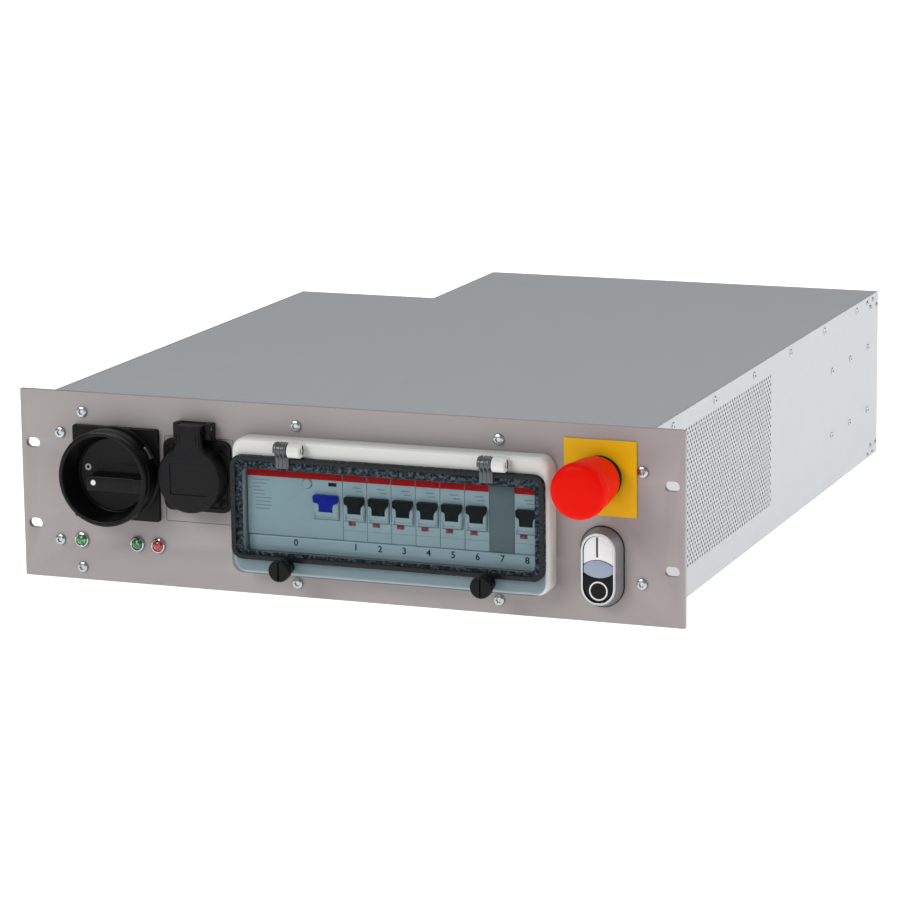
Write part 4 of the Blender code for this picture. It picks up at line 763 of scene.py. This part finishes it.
class RACK_OT_switch(bpy.types.Operator):
    """Make the main switch's plate, collar and knob"""
    bl_idname = "rack.switch"
    bl_label = "Main Switch"

    def execute(self, context):
        size = sizes(context, "rack_switch")
        low, high = span("main_switch_knob")
        x, z = (low.x + high.x) / 2, (low.z + high.z) / 2
        radius = (high.x - low.x) / 2
        plate_low, plate_high = span("switch_plate")
        front, ring = low.y, plate_low.y
        base = plate_high.y - 3.0
        square = plate(rounded((plate_low.x, plate_high.x), (plate_low.z, plate_high.z), 2.0, 4),
                       base, plate_high.y, 0.6)
        wall = radius - 1.5
        collar = turned([(wall - 1.6, base + 0.1), (wall + 1.6, base + 0.1), (wall + 1.6, base - 1.2),
                         (wall + 0.5, base - 1.8), (wall, base - 2.4), (wall, ring + 2.6), (wall - 0.6, ring + 2.0),
                         (wall - 0.7, ring + 0.4), (wall - 1.0, ring), (wall - 1.6, ring)], (x, 0, z), closed=True)
        piece("switch_plate_body", joined(square, collar), "black", "chassis", ["switch_plate"])
        insert = block((-4.6, 4.6), (base - 6.2, base - 1.4), (wall - 0.8, wall + 1.1), 0.4)
        bmesh.ops.rotate(insert, verts=insert.verts, cent=(0, 0, 0), matrix=Matrix.Rotation(math.radians(58), 3, "Y"))
        piece("switch_index", shifted(insert, (x, 0, z)), "satin_metal", "chassis")

        inner, back = radius - size.rim, base - 0.3
        floor, flange = back - 2.2, ring - 0.3
        low_radius = inner - size.taper
        cup = turned([(0, back), (wall - 1.9, back), (wall - 1.9, flange), (radius - 1.0, flange),
                      (radius, flange - 1.0), (radius, front + 5.4), (radius - 0.6, front + 5.0),
                      (radius - 0.6, front + 4.4), (radius, front + 4.0), (radius, front + 2.0),
                      (radius - 0.5, front + 0.7), (radius - 1.4, front + 0.1), (radius - 2.0, front),
                      (inner + 0.8, front), (inner + 0.2, front + 0.3), (inner, front + 1.0),
                      (low_radius + 0.3, floor - 1.6), (low_radius - 0.2, floor - 0.7),
                      (low_radius - 0.9, floor - 0.2), (low_radius - 1.8, floor), (0, floor)], (x, 0, z), steps=96)
        bead = turned([(low_radius - 1.0, floor + 0.3), (low_radius - 1.0, floor - 0.5),
                       (low_radius - 1.4, floor - 0.9),
                       (low_radius - 1.9, floor - 0.5), (low_radius - 1.9, floor + 0.3)], (x, 0, z), steps=96,
                      closed=True)
        middle_z = z - 3.6
        bottom, top = around(middle_z, size.grip)
        bar = block((x - 13.0, x + inner - 0.9), (front + 2.0, floor + 0.5), (bottom, top), 0.8, 3)
        step = block((x + 22.6, x + inner + 0.6), (front + 0.5, floor - 1.5), (bottom + 0.2, top - 0.2), 0.7, 3)
        shaft = block(around(x, 6), (back - 1, high.y), around(z, 6), 0.3)
        piece("switch_knob", joined(cup, bead, bar, step, shaft), "black", "main_switch",
              ["main_switch_knob"])
        # painted shade: thin dull black patches on the cup's floor stand in for the shadowed finger pockets above the
        # grip bar
        painted_shade_well = block((x - 14.5, x + 22.0), (floor - 0.06, floor + 0.3), (top - 0.2, z + 6.6), 0)
        deep = block((x - 10.6, x + 4.7), (floor - 0.1, floor + 0.3), (z + 6.0, z + 10.8), 0)
        piece("switch_wells", joined(painted_shade_well, deep), "soft", "main_switch")
        zero = ringed(circle(x - 19.6, z + 3.9, 2.3, 24), circle(x - 19.6, z + 3.9, 1.2, 24),
                      floor - 0.12, floor + 0.1, 0.04, 1)
        dot = plate(circle(x - 7.5, z - 2.9, size.dot, 24), front + 1.88, front + 2.1, 0.08, 2)
        piece("switch_marks", joined(zero, dot), "pale_ink", "main_switch")
        return {"FINISHED"}


class RACK_OT_socket(bpy.types.Operator):
    """Make the service socket with its sprung lid"""
    bl_idname = "rack.socket"
    bl_label = "Service Socket"

    def lid(self, size, x, z):
        low, high = span("socket_lid")
        front, back = low.y, high.y
        radius = (high.x - low.x) / 2
        hinge = middle("lid_pin")
        half = LID_HALF_WIDTH
        start = math.radians(48)
        steps = 72
        turns = [start - (math.tau - (math.pi - 2 * start)) * step / steps for step in range(steps + 1)]
        arc = [(x + radius * math.cos(angle), z + radius * math.sin(angle)) for angle in turns]
        neck = [(half + flare, radius * math.sin(start) + 1.2 + rise)
                for rise, flare in ((0.0, 3.2), (1.2, 2.2), (2.6, 1.3), (4.4, 0.5), (6.8, 0.0))]
        neck.append((half, hinge.z - z))
        outline = arc + [(x - a, z + b) for a, b in neck] + [(x + a, z + b) for a, b in reversed(neck)]
        body = plate(outline, front, front + 4.0, size.lid_rim, 4)
        rim = turned([(radius - 2.4, front + 3.5), (radius, front + 3.5), (radius, back - 0.4), (radius - 0.4, back),
                      (radius - 2.4, back)], (x, 0, z), closed=True)
        sunk(body, around(x, 28), around(z, 22), front, size.field_depth, 0.35)
        arm = block(around(x, 18.5), (front + 0.6, hinge.y), (hinge.z - 3.2, hinge.z + 3.2), 0.6)
        roll = turned([(1.3, -half), (3.2, -half), (3.4, 0.2 - half), (3.4, half - 0.2), (3.2, half), (1.3, half)],
                      (x, hinge.y, hinge.z), "X", 40, True)
        return joined(body, rim, arm, roll)

    def execute(self, context):
        size = sizes(context, "rack_socket")
        low, high = span("socket_flange")
        x = (low.x + high.x) / 2
        z = low.z + 25.0
        piece("socket_base", copied("socket_flange", 0.7, 3), "stipple", "chassis",
              ["socket_flange"])
        front = -3.3
        step = ringed(rounded(around(x, 45.5), around(z, 45.5), 7.5), rounded(around(x, 43), around(z, 43), 6.5),
                      front - 0.8, front + 0.2, 0.35, 2)
        places = [(x + a, z + b) for a in (-SOCKET_SCREW, SOCKET_SCREW) for b in (-SOCKET_SCREW, SOCKET_SCREW)]
        bosses = [ringed(circle(a, b, 3.6, 32), circle(a, b, 2.5, 32), front - 1.1, front + 0.2, 0.3, 2)
                  for a, b in places]
        piece("socket_details", joined(step, *bosses), "black", "chassis")
        screws("socket_screws", places, 2.3, 0.7, depth=front, material="black")
        piece("socket_cover", self.lid(size, x, z), "stipple", "socket_lid", ["socket_lid"])
        dress("zinc", "lid_pin")
        hinge = middle("lid_pin")
        ribs = [block((x + a - 0.45, x + a + 0.45), (span("socket_lid")[0].y - 0.35, hinge.y - 2.0),
                      (hinge.z - 11.0, hinge.z - 2.6), 0.25) for a in (-8.1, -6.0, 6.0, 8.1)]
        piece("socket_cover_ribs", joined(*ribs), "black", "socket_lid")
        width, height = size.sticker_width / 2, size.sticker_height / 2
        cx, cz = x + 0.4, z - 3.9
        line = ringed(rounded((cx - width, cx + width), (cz - height, cz + height), 1.0, 3),
                      rounded((cx - width + 0.35, cx + width - 0.35),
                              (cz - height + 0.35, cz + height - 0.35), 0.8, 3),
                      -0.06, 0.05, 0, 1)
        piece("sticker_outline", line, "ink", "chassis")
        sleeves = [plate(circle(x + a, z, 2.5, 24), high.y - 4.0, high.y - 3.0, 0.1) for a in (-9.5, 9.5)]
        piece("socket_contacts", joined(*sleeves), "zinc", "chassis")
        return {"FINISHED"}


class RACK_OT_breakers(bpy.types.Operator):
    """Make the breakers, their levers and the label strip"""
    bl_idname = "rack.breakers"
    bl_label = "Breakers"

    def lever(self, name, node, body, x, width, stem, material, slot):
        """A white drum with a T-shaped handle on its front."""
        low = span(node)[0]
        axis_y, axis_z = 1.0, low.z + DRUM_RADIUS
        drum = turned([(0, -width / 2), (11.6, -width / 2), (DRUM_RADIUS, 0.4 - width / 2),
                       (DRUM_RADIUS, width / 2 - 0.4), (11.6, width / 2), (0, width / 2)],
                      (x, axis_y, axis_z), "X", 64)
        piece(name + "_drum", drum, "breaker", body, [node])
        head_top = axis_z + 10.0
        half, foot = width / 2 - 0.2, stem / 2
        outline = [(-half + 0.6, 0), (half - 0.6, 0), (half, -0.8), (half - 0.3, -5.1), (foot + 0.4, -6.2),
                   (foot, -7.4), (foot, -11.8), (-foot, -11.8), (-foot, -7.4), (-foot - 0.4, -6.2),
                   (-half + 0.3, -5.1), (-half, -0.8)]
        handle = extruded([(x + a, head_top + b) for a, b in outline], low.y, -7.0)
        for vert in handle.verts:
            if vert.co.y < low.y + TINY and vert.co.z < head_top - 5.5:
                vert.co.y += 1.5
        softened(handle, 0.7, 3)
        piece(name + "_handle", handle, material, body)

    def execute(self, context):
        size = sizes(context, "rack_breakers")
        cases = [("rcd", "rcd_body", "rcd_lever", "rcd_lever")]
        cases += [(f"breaker_{n}", f"breaker_body_{n}", f"breaker_lever_{n}", f"lever_{n}") for n in range(1, 7)]
        cases.append(("service", "service_breaker_body", "service_breaker_lever", "service_lever"))
        bands, status, prints, seams, cheeks = [], [], [], [], []
        for name, node, lever, body in cases:
            low, high = span(node)
            front = low.y
            nose_top = span("blank_module")[1].z
            nose_bottom = span("blank_module")[0].z
            piece(name + "_case", copied(node, 0.3, 2), "breaker", "chassis", [node])
            x = middle(lever).x
            wide = name == "rcd"
            width = span(lever)[1].x - span(lever)[0].x
            bands.append(block((low.x + 0.15, high.x - 0.15), (front - 0.12, front + 0.5),
                               (nose_top - size.band, nose_top - 0.2), 0.08))
            lever_args = (width, 10.5, "blue", "blue_plastic") if wide else (width, 10.0, "black", "black_plastic")
            self.lever(name, lever, body, x, *lever_args)
            for side in (-1, 1):
                inner = x + side * (width / 2 - 1.5)
                cheeks.append(block((inner, inner + side * 1.2), (front - 2.2, front + 1.5),
                                    (nose_bottom + 14.5, nose_bottom + 19.5), 0.5))
            cheeks.append(block((x - width / 2 + 0.3, x + width / 2 - 0.3), (front - 1.3, front + 1.0),
                                (nose_bottom + 14.0, nose_bottom + 15.3), 0.4))
            if wide:
                status.append(block((x + 1.5, x + 7.5), (front - 0.12, front + 0.4),
                                    (nose_top - 8.6, nose_top - 6.1), 0.1))
                for row, (start, stop) in enumerate(((3.5, 16), (4, 14), (4.5, 10), (4.5, 12), (4.5, 13),
                                                     (6, 18), (6, 17), (6, 18), (6, 16))):
                    prints.append(block((low.x + start, low.x + stop), (front - 0.04, front + 0.2),
                                        (nose_top - 7.4 - 2.5 * row, nose_top - 6.8 - 2.5 * row), 0))
            else:
                centre = x - 2.2
                status.append(block(around(centre, size.status_width), (front - 0.12, front + 0.4),
                                    (nose_bottom + 10.3, nose_bottom + 13.1), 0.1))
                prints.append(block((x - 1.5, x + 4.5), (front - 0.04, front + 0.2),
                                    (nose_top - 8.8, nose_top - 7.9), 0))
                prints.append(block((x + 0.5, x + 5.5), (front - 0.04, front + 0.2),
                                    (nose_top - 11.2, nose_top - 10.4), 0))
                seams.append(block((low.x + 0.6, high.x - 0.6), (front - 0.05, front + 0.2),
                                   (nose_bottom + 6.9, nose_bottom + 7.2), 0))
        piece("red_bands", joined(*bands), "red_print", "chassis")
        piece("status_windows", joined(*status[1:]), "red_lamp", "chassis")
        piece("rcd_status_window", status[0], "black", "chassis")
        piece("breaker_prints", joined(*prints, *seams), "faint_ink", "chassis")
        piece("lever_cheeks", joined(*cheeks), "white", "chassis")
        low, high = span("rcd_test_button")
        centre = (low + high) / 2
        reach = (high.x - low.x) / 2
        test = turned([(0, high.y), (reach, high.y), (reach, low.y + 0.7), (reach - 0.5, low.y + 0.15),
                       (0.3 * reach, low.y), (0, low.y)], (centre.x, 0, centre.z), steps=40)
        piece("test_button", test, "white", "rcd_test", ["rcd_test_button"])
        piece("blank_cover", copied("blank_module", 0.4), "blank", "chassis", ["blank_module"])
        self.labels(size)
        return {"FINISHED"}

    def labels(self, size):
        low, high = span("label_strip")
        piece("label_strip_body", copied("label_strip", 1.3, 4), "label", "chassis", ["label_strip"])
        row = [middle(node).x for node in
               ("rcd_body", *(f"breaker_body_{n}" for n in range(1, 7)), "blank_module", "service_breaker_body")]
        figures = [numeral(str(number), size.figure, x, (low.z + high.z) / 2 + 1.6, low.y - 0.02)
                   for number, x in enumerate(row)]
        piece("label_figures", joined(*figures), "ink", "chassis", smooth=0.1)


class RACK_OT_window(bpy.types.Operator):
    """Make the hinged window and its housing"""
    bl_idname = "rack.window"
    bl_label = "Window"

    def strap(self, side, size):
        low, high = span("hinge_strap_" + side)
        axis = middle("hinge_pin_" + side)
        pane = span("window_pane")[0].y - 0.3
        outer, bore = axis.y - low.y, 2.1
        start, stop = math.radians(-62), math.radians(200)
        steps = 20
        arc = [(outer * math.cos(a), outer * math.sin(a))
               for a in (start + (stop - start) * n / steps for n in range(steps + 1))]
        inner = [(bore * math.cos(a), bore * math.sin(a))
                 for a in (stop + (start - stop) * n / steps for n in range(steps + 1))]
        # in side view: first number towards the back, second up
        outline = [(axis.y + a, axis.z + b) for a, b in arc + inner]
        curl = bmesh.new()
        face = curl.faces.new([curl.verts.new((low.x, y, z)) for y, z in outline])
        grown = bmesh.ops.extrude_face_region(curl, geom=[face])
        bmesh.ops.translate(curl, verts=moved_verts(grown), vec=(high.x - low.x, 0, 0))
        bmesh.ops.recalc_face_normals(curl, faces=curl.faces)
        softened(curl, 0.3, 2)
        tongue = block((low.x, high.x), (pane - 2.2, pane), (low.z, axis.z - 1.0), 0.5, 3)
        ribs = []
        for part in (0.2, 0.5, 0.8):
            x = low.x + part * (high.x - low.x)
            ribs.append(turned([(outer - 0.3, -0.7), (outer + size.rib, -0.45), (outer + size.rib, 0.45),
                                (outer - 0.3, 0.7)], (x, axis.y, axis.z), "X", 48, True))
            ribs.append(block(around(x, 1.1), (pane - 2.2 - size.rib, pane - 1.5), (low.z + 0.8, axis.z - 3.5), 0.3))
        piece("strap_" + side, joined(curl, tongue, *ribs), "smoky", "window",
              ["hinge_strap_" + side])
        return axis

    def thumb_screw(self, side):
        low, high = span("thumb_screw_" + side)
        x, z = (low.x + high.x) / 2, (low.z + high.z) / 2
        neck_back = span("window_pane")[0].y - 0.3
        head_back = low.y + 5.0
        radius = (high.x - low.x) / 2
        fluted = []
        flutes = 96
        for step in range(flutes):
            angle = math.tau * step / flutes
            reach = radius - (0.22 if step % 4 < 2 else 0.0)
            fluted.append((x + reach * math.cos(angle), z + reach * math.sin(angle)))
        head = plate(fluted, low.y, head_back, 0.9, 3)
        sunk(head, around(x, 1.3), around(z, 12.6), low.y, 1.3, 0.05)
        neck = turned([(0, head_back - 0.5), (5.9, head_back - 0.5), (5.5, head_back + 1.0), (5.5, neck_back),
                       (3.0, neck_back), (3.0, high.y - 0.6), (2.4, high.y), (0, high.y)], (x, 0, z), steps=48)
        piece("thumb_" + side, joined(head, neck), "black", "thumb_screw_" + side,
              ["thumb_screw_" + side])

    def execute(self, context):
        size = sizes(context, "rack_window")
        low, high = span("window_housing")
        label_low, label_high = span("label_strip")
        nose_top = span("blank_module")[1].z
        front = -15.0
        case = ringed(rounded((low.x, high.x), (low.z, high.z), 9.0, 10),
                      rounded((label_low.x - 1.2, label_high.x + 1.2), (label_low.z - 0.3, nose_top + 5.0), 1.2, 10),
                      front, high.y, size.edge, 5, 0.6)
        knuckles = []
        for side in ("left", "right"):
            axis = self.strap(side, size)
            strap = span("hinge_strap_" + side)
            start, stop = strap[1].x + 0.5, strap[1].x + 9.5
            roll = axis.y - strap[0].y
            knuckles.append(turned([(2.1, start), (roll - 0.4, start), (roll, start + 0.4), (roll, stop - 0.6),
                                    (roll - 0.6, stop), (2.1, stop)], (0, axis.y, axis.z), "X", 48, True))
            knuckles.append(block((start, stop), (axis.y + 1.0, front + 1.0), around(axis.z, 2 * roll - 1.4), 0.7))
            self.thumb_screw(side)
        piece("housing", joined(case, *knuckles), "housing", "chassis", ["window_housing"])
        dress("zinc", "hinge_pin_left", "hinge_pin_right")
        dress("pane", "window_pane")
        dress("foam", "window_gasket")
        pane_low = span("window_pane")[0]
        gasket_low, gasket_high = span("window_gasket")
        x, z = (gasket_low.x, gasket_high.x), (gasket_low.z, gasket_high.z)
        inset = size.band
        band = ringed(rounded(x, z, 8.0, 10), rounded((x[0] + inset, x[1] - inset), (z[0] + inset, z[1] - inset),
                                                    8.0 - inset, 10),
                      pane_low.y - size.band_height, pane_low.y - 0.02, 0.4, 3)
        piece("window_band", band, "band", "window")
        return {"FINISHED"}


class RACK_OT_stop(bpy.types.Operator):
    """Make the emergency stop on its yellow plate"""
    bl_idname = "rack.stop"
    bl_label = "Emergency Stop"

    def execute(self, context):
        size = sizes(context, "rack_stop")
        low, high = span("estop_mushroom")
        x, z = (low.x + high.x) / 2, (low.z + high.z) / 2
        front = low.y
        piece("stop_plate", copied("estop_plate", 0.15), "yellow", "chassis", ["estop_plate"])
        cap = (high.x - low.x) / 2
        dome = [(0.9 * cap * math.sin(a), front + size.dome * (1 - math.cos(a)))
                for a in (math.radians(9 * n) for n in range(9))]
        profile = dome + [(cap - 1.2, front + 2.6), (cap - 0.5, front + 3.6), (cap - 0.1, front + 4.8),
                          (cap, front + 6.2), (cap, front + 9.6), (cap - 0.3, front + 11.0), (cap - 0.9, front + 12.0),
                          (size.neck, front + 12.6), (size.neck, front + 20.0), (size.neck - 0.4, front + 29.0),
                          (size.neck - 1.0, front + 35.0), (size.neck - 1.9, front + 41.0), (15.3, front + 43.5),
                          (15.0, front + 43.8), (12.5, front + 43.8), (12.5, front + 38.7), (5.0, front + 38.7),
                          (5.0, high.y), (0, high.y)]
        piece("stop_cap", turned(profile, (x, 0, z), steps=96), "red", "estop", ["estop_mushroom"])
        piece("stop_collar", copied("estop_body", 0.25), "soft", "chassis", ["estop_body"])
        return {"FINISHED"}


class RACK_OT_buttons(bpy.types.Operator):
    """Make the double pushbutton with its lens"""
    bl_idname = "rack.buttons"
    bl_label = "Pushbuttons"

    def execute(self, context):
        size = sizes(context, "rack_buttons")
        low, high = span("button_unit")
        x, front = (low.x + high.x) / 2, low.y
        z = middle("indicator_lens").z
        half, tall = 14.8, 27.0
        hole = 10.55
        deep = tall - half + hole
        seat = rounded(around(x, 2 * half + 1.0), around(z, 2 * tall + 1.0), half + 0.5, 14)
        piece("button_seat", plate(seat, -1.2, -0.3, 0.3), "soft", "chassis")
        outer = rounded(around(x, 2 * half), around(z, 2 * tall), half, 14)
        inner = rounded(around(x, 2 * hole), around(z, 2 * deep), hole, 14)
        bezel = ringed(outer, inner, front, -1.2, size.edge, 3, 0.3)
        for vert in bezel.verts:
            spine = min(max(vert.co.z, z - tall + half), z + tall - half)
            out = Vector((vert.co.x - x, 0, vert.co.z - spine))
            if out.length > hole + 0.4:
                vert.co -= out.normalized() * size.taper * (-1.2 - vert.co.y) / (-1.2 - front)
        floor = plate(rounded(around(x, 2 * half - 1), around(z, 2 * tall - 1), half - 0.5, 10), -2.2, -1.25, 0)
        barrel = turned([(0, -0.2), (11, -0.2), (11, 10), (0, 10)], (x, 0, z))
        contacts = block(around(x, 30), (5, high.y), around(z, 42), 0.6)
        piece("button_bezel", joined(bezel, floor), "satin_metal", "chassis", ["button_unit"])
        piece("button_contacts", joined(barrel, contacts), "soft", "chassis")
        lip = ringed(rounded(around(x, 2 * hole + 1.3), around(z, 2 * deep + 1.3), hole + 0.65, 14), inner,
                     front - 0.3, front + 0.3, 0.2, 2, 0.1)
        piece("button_lip", lip, "chrome", "chassis")
        piece("on_key", copied("on_button", 0.5, 3), "white", "on_button", ["on_button"])
        piece("off_key", copied("off_button", 0.5, 3), "black", "off_button", ["off_button"])
        piece("button_lens", copied("indicator_lens", 0.6, 3), "lens", "chassis", ["indicator_lens"])
        key = span("on_button")[0].y
        proud = (key - 0.1, key + 0.2)
        bar = block(around(x - 0.8, size.mark), proud, (z + 8.0, z + 21.5), 0.08)
        piece("on_mark", bar, "ink", "on_button")
        ring_z, ring_radius = z - 14.7, 6.5
        ring = ringed(circle(x, ring_z, ring_radius, 48), circle(x, ring_z, ring_radius - 0.75 * size.mark, 48),
                      *proud, 0.08, 1)
        piece("off_mark", ring, "pale_ink", "off_button")
        return {"FINISHED"}


class RACK_OT_lamps(bpy.types.Operator):
    """Make the three indicator lamps"""
    bl_idname = "rack.lamps"
    bl_label = "Indicator Lamps"

    def execute(self, context):
        size = sizes(context, "rack_lamps")
        for node, material in (("lamp_supply", "green_lamp"), ("lamp_power", "green_lamp"),
                               ("lamp_error", "red_lamp")):
            low, high = span(node)
            x, z = (low.x + high.x) / 2, (low.z + high.z) / 2
            radius = (high.x - low.x) / 2
            lens = radius - size.bezel
            bezel = turned([(0, high.y), (3.7, high.y), (3.7, -0.2), (radius, -0.2), (radius, -1.0),
                            (radius - 0.3, -1.7), (lens + 0.3, -2.1), (lens, -1.9), (lens - 0.2, -0.8),
                            (0, -0.8)], (x, 0, z), steps=48)
            piece(node + "_bezel", bezel, "chrome", "chassis", [node])
            dome = [((lens - 0.25) * math.cos(a), -1.3 - 2.0 * math.sin(a))
                    for a in (math.radians(15 * n) for n in range(6))]
            cap = turned([(0, -0.9), (lens - 0.25, -0.9), *dome, (0, -3.3)], (x, 0, z), steps=40)
            piece(node + "_lens", cap, material, "chassis")
        return {"FINISHED"}


class RACK_OT_rear(bpy.types.Operator):
    """Make the rear outlets and the cable gland"""
    bl_idname = "rack.rear"
    bl_label = "Rear Connections"

    def execute(self, context):
        piece("outlets", copied("outlet_strip", 0.3, 2), "black", "chassis", ["outlet_strip"])
        low, high = span("cable_gland")
        x, z = (low.x + high.x) / 2, (low.z + high.z) / 2
        wall = span("notch_rear_panel")[1].y + 0.3
        nut = [(x + 13 * math.cos(a), z + 13 * math.sin(a)) for a in (math.radians(60 * n) for n in range(6))]
        bore = [(x + 6.5 * math.cos(a), z + 6.5 * math.sin(a)) for a in (math.radians(60 * n) for n in range(6))]
        hexagon = ringed(nut, bore, wall, wall + 8, 0.4, 2)
        dome = turned([(6.5, wall + 7.5), (10.8, wall + 7.5), (10.8, high.y - 4.5), (9.6, high.y - 1.6),
                       (7.6, high.y), (6.5, high.y)], (x, 0, z), closed=True)
        thread = turned([(6.5, low.y), (10, low.y), (10, wall - 0.1), (6.5, wall - 0.1)], (x, 0, z), closed=True)
        piece("gland", joined(hexagon, dome, thread), "black", "chassis", ["cable_gland"])
        dress("inner_sheet", "din_rail", "rail_bracket_left", "rail_bracket_right")
        dress("soft", "contactor", "switch_body")
        dress("blank", "terminal_block")
        return {"FINISHED"}


class RACK_OT_stage(bpy.types.Operator):
    """Make the floor, the lights and the camera"""
    bl_idname = "rack.stage"
    bl_label = "Stage"

    def light(self, name, place, target, size, power, tint=(1, 1, 1)):
        data = bpy.data.lights.new(name, "AREA")
        data.shape = "RECTANGLE"
        data.size, data.size_y = size
        data.energy = power
        data.color = tint
        lamp = bpy.data.objects.new(name, data)
        bpy.context.scene.collection.objects.link(lamp)
        lamp.location = place
        lamp.rotation_euler = (Vector(target) - Vector(place)).to_track_quat("-Z", "Y").to_euler()

    def camera(self, context):
        data = bpy.data.cameras.new("camera")
        data.lens = 148.3
        data.sensor_width = 36.0
        data.shift_x = -0.0232
        data.shift_y = -0.029
        camera = bpy.data.objects.new("camera", data)
        context.scene.collection.objects.link(camera)
        around_z, above, roll = (math.radians(angle) for angle in (20.846, 11.453, -0.618))
        back = Vector((math.sin(around_z) * math.cos(above), -math.cos(around_z) * math.cos(above), math.sin(above)))
        right = (-back).cross(Vector((0, 0, 1))).normalized()
        up = right.cross(-back)
        right, up = (math.cos(roll) * right + math.sin(roll) * up, math.cos(roll) * up - math.sin(roll) * right)
        turn = Matrix((right, up, back)).transposed().to_4x4()
        camera.matrix_world = Matrix.Translation((0.94883, FACE - 2.24786, 0.61530)) @ turn
        context.scene.camera = camera

    def execute(self, context):
        scene = context.scene
        scene.view_settings.view_transform = "Standard"
        shape = bmesh.new()
        bmesh.ops.create_grid(shape, x_segments=2, y_segments=2, size=30.0)
        mesh = bpy.data.meshes.new("floor")
        shape.to_mesh(mesh)
        shape.free()
        mesh.materials.append(finish("floor"))
        floor = bpy.data.objects.new("floor", mesh)
        scene.collection.objects.link(floor)
        floor.location.z = CAD_BOX[0].z - 0.0005
        world = bpy.data.worlds.new("studio")
        world.use_nodes = True
        sky = world.node_tree.nodes["Background"]
        sky.inputs["Color"].default_value = (1, 1, 1, 1)
        sky.inputs["Strength"].default_value = 0.24
        scene.world = world
        self.light("key", (-1.4, -2.6, 1.9), (0, 0, 0.05), (1.8, 1.2), 57)
        self.light("side", (3.2, 0.2, 1.5), (0.1, 0.1, 0.05), (2.0, 2.0), 63)
        self.light("top", (0.0, 1.2, 2.8), (0, 0.1, 0.1), (2.4, 1.6), 24)
        self.camera(context)
        return {"FINISHED"}


OPERATORS = (RACK_OT_panel, RACK_OT_cover, RACK_OT_switch, RACK_OT_socket, RACK_OT_breakers, RACK_OT_window,
             RACK_OT_stop, RACK_OT_buttons, RACK_OT_lamps, RACK_OT_rear, RACK_OT_stage)
GROUPS = {
    "rack_panel": PanelSizes, "rack_cover": CoverSizes, "rack_switch": SwitchSizes,
    "rack_socket": SocketSizes, "rack_breakers": BreakerSizes, "rack_window": WindowSizes,
    "rack_stop": StopSizes, "rack_buttons": ButtonSizes, "rack_lamps": LampSizes,
    "rack_colours": RackColours,
}


class RACK_PT_sidebar(bpy.types.Panel):
    """Lists the pieces with their sizes and colours"""
    bl_label = "Rack Power Unit"
    bl_idname = "RACK_PT_sidebar"
    bl_space_type = "VIEW_3D"
    bl_region_type = "UI"
    bl_category = "Rack"

    def draw(self, context):
        for operator in OPERATORS:
            self.layout.operator(operator.bl_idname)
        for name, group in GROUPS.items():
            box = self.layout.box()
            for key in group.__annotations__:
                box.prop(getattr(context.scene, name), key)


def register():
    for group in GROUPS.values():
        bpy.utils.register_class(group)
    for name, group in GROUPS.items():
        setattr(bpy.types.Scene, name, bpy.props.PointerProperty(type=group))
    for cls in (*OPERATORS, RACK_PT_sidebar):
        bpy.utils.register_class(cls)


def unregister():
    for cls in (RACK_PT_sidebar, *reversed(OPERATORS)):
        bpy.utils.unregister_class(cls)
    for name, group in GROUPS.items():
        delattr(bpy.types.Scene, name)
        bpy.utils.unregister_class(group)


def main():
    register()
    for operator in OPERATORS:
        category, name = operator.bl_idname.split(".")
        getattr(getattr(bpy.ops, category), name)()


if __name__ == "__main__":
    main()
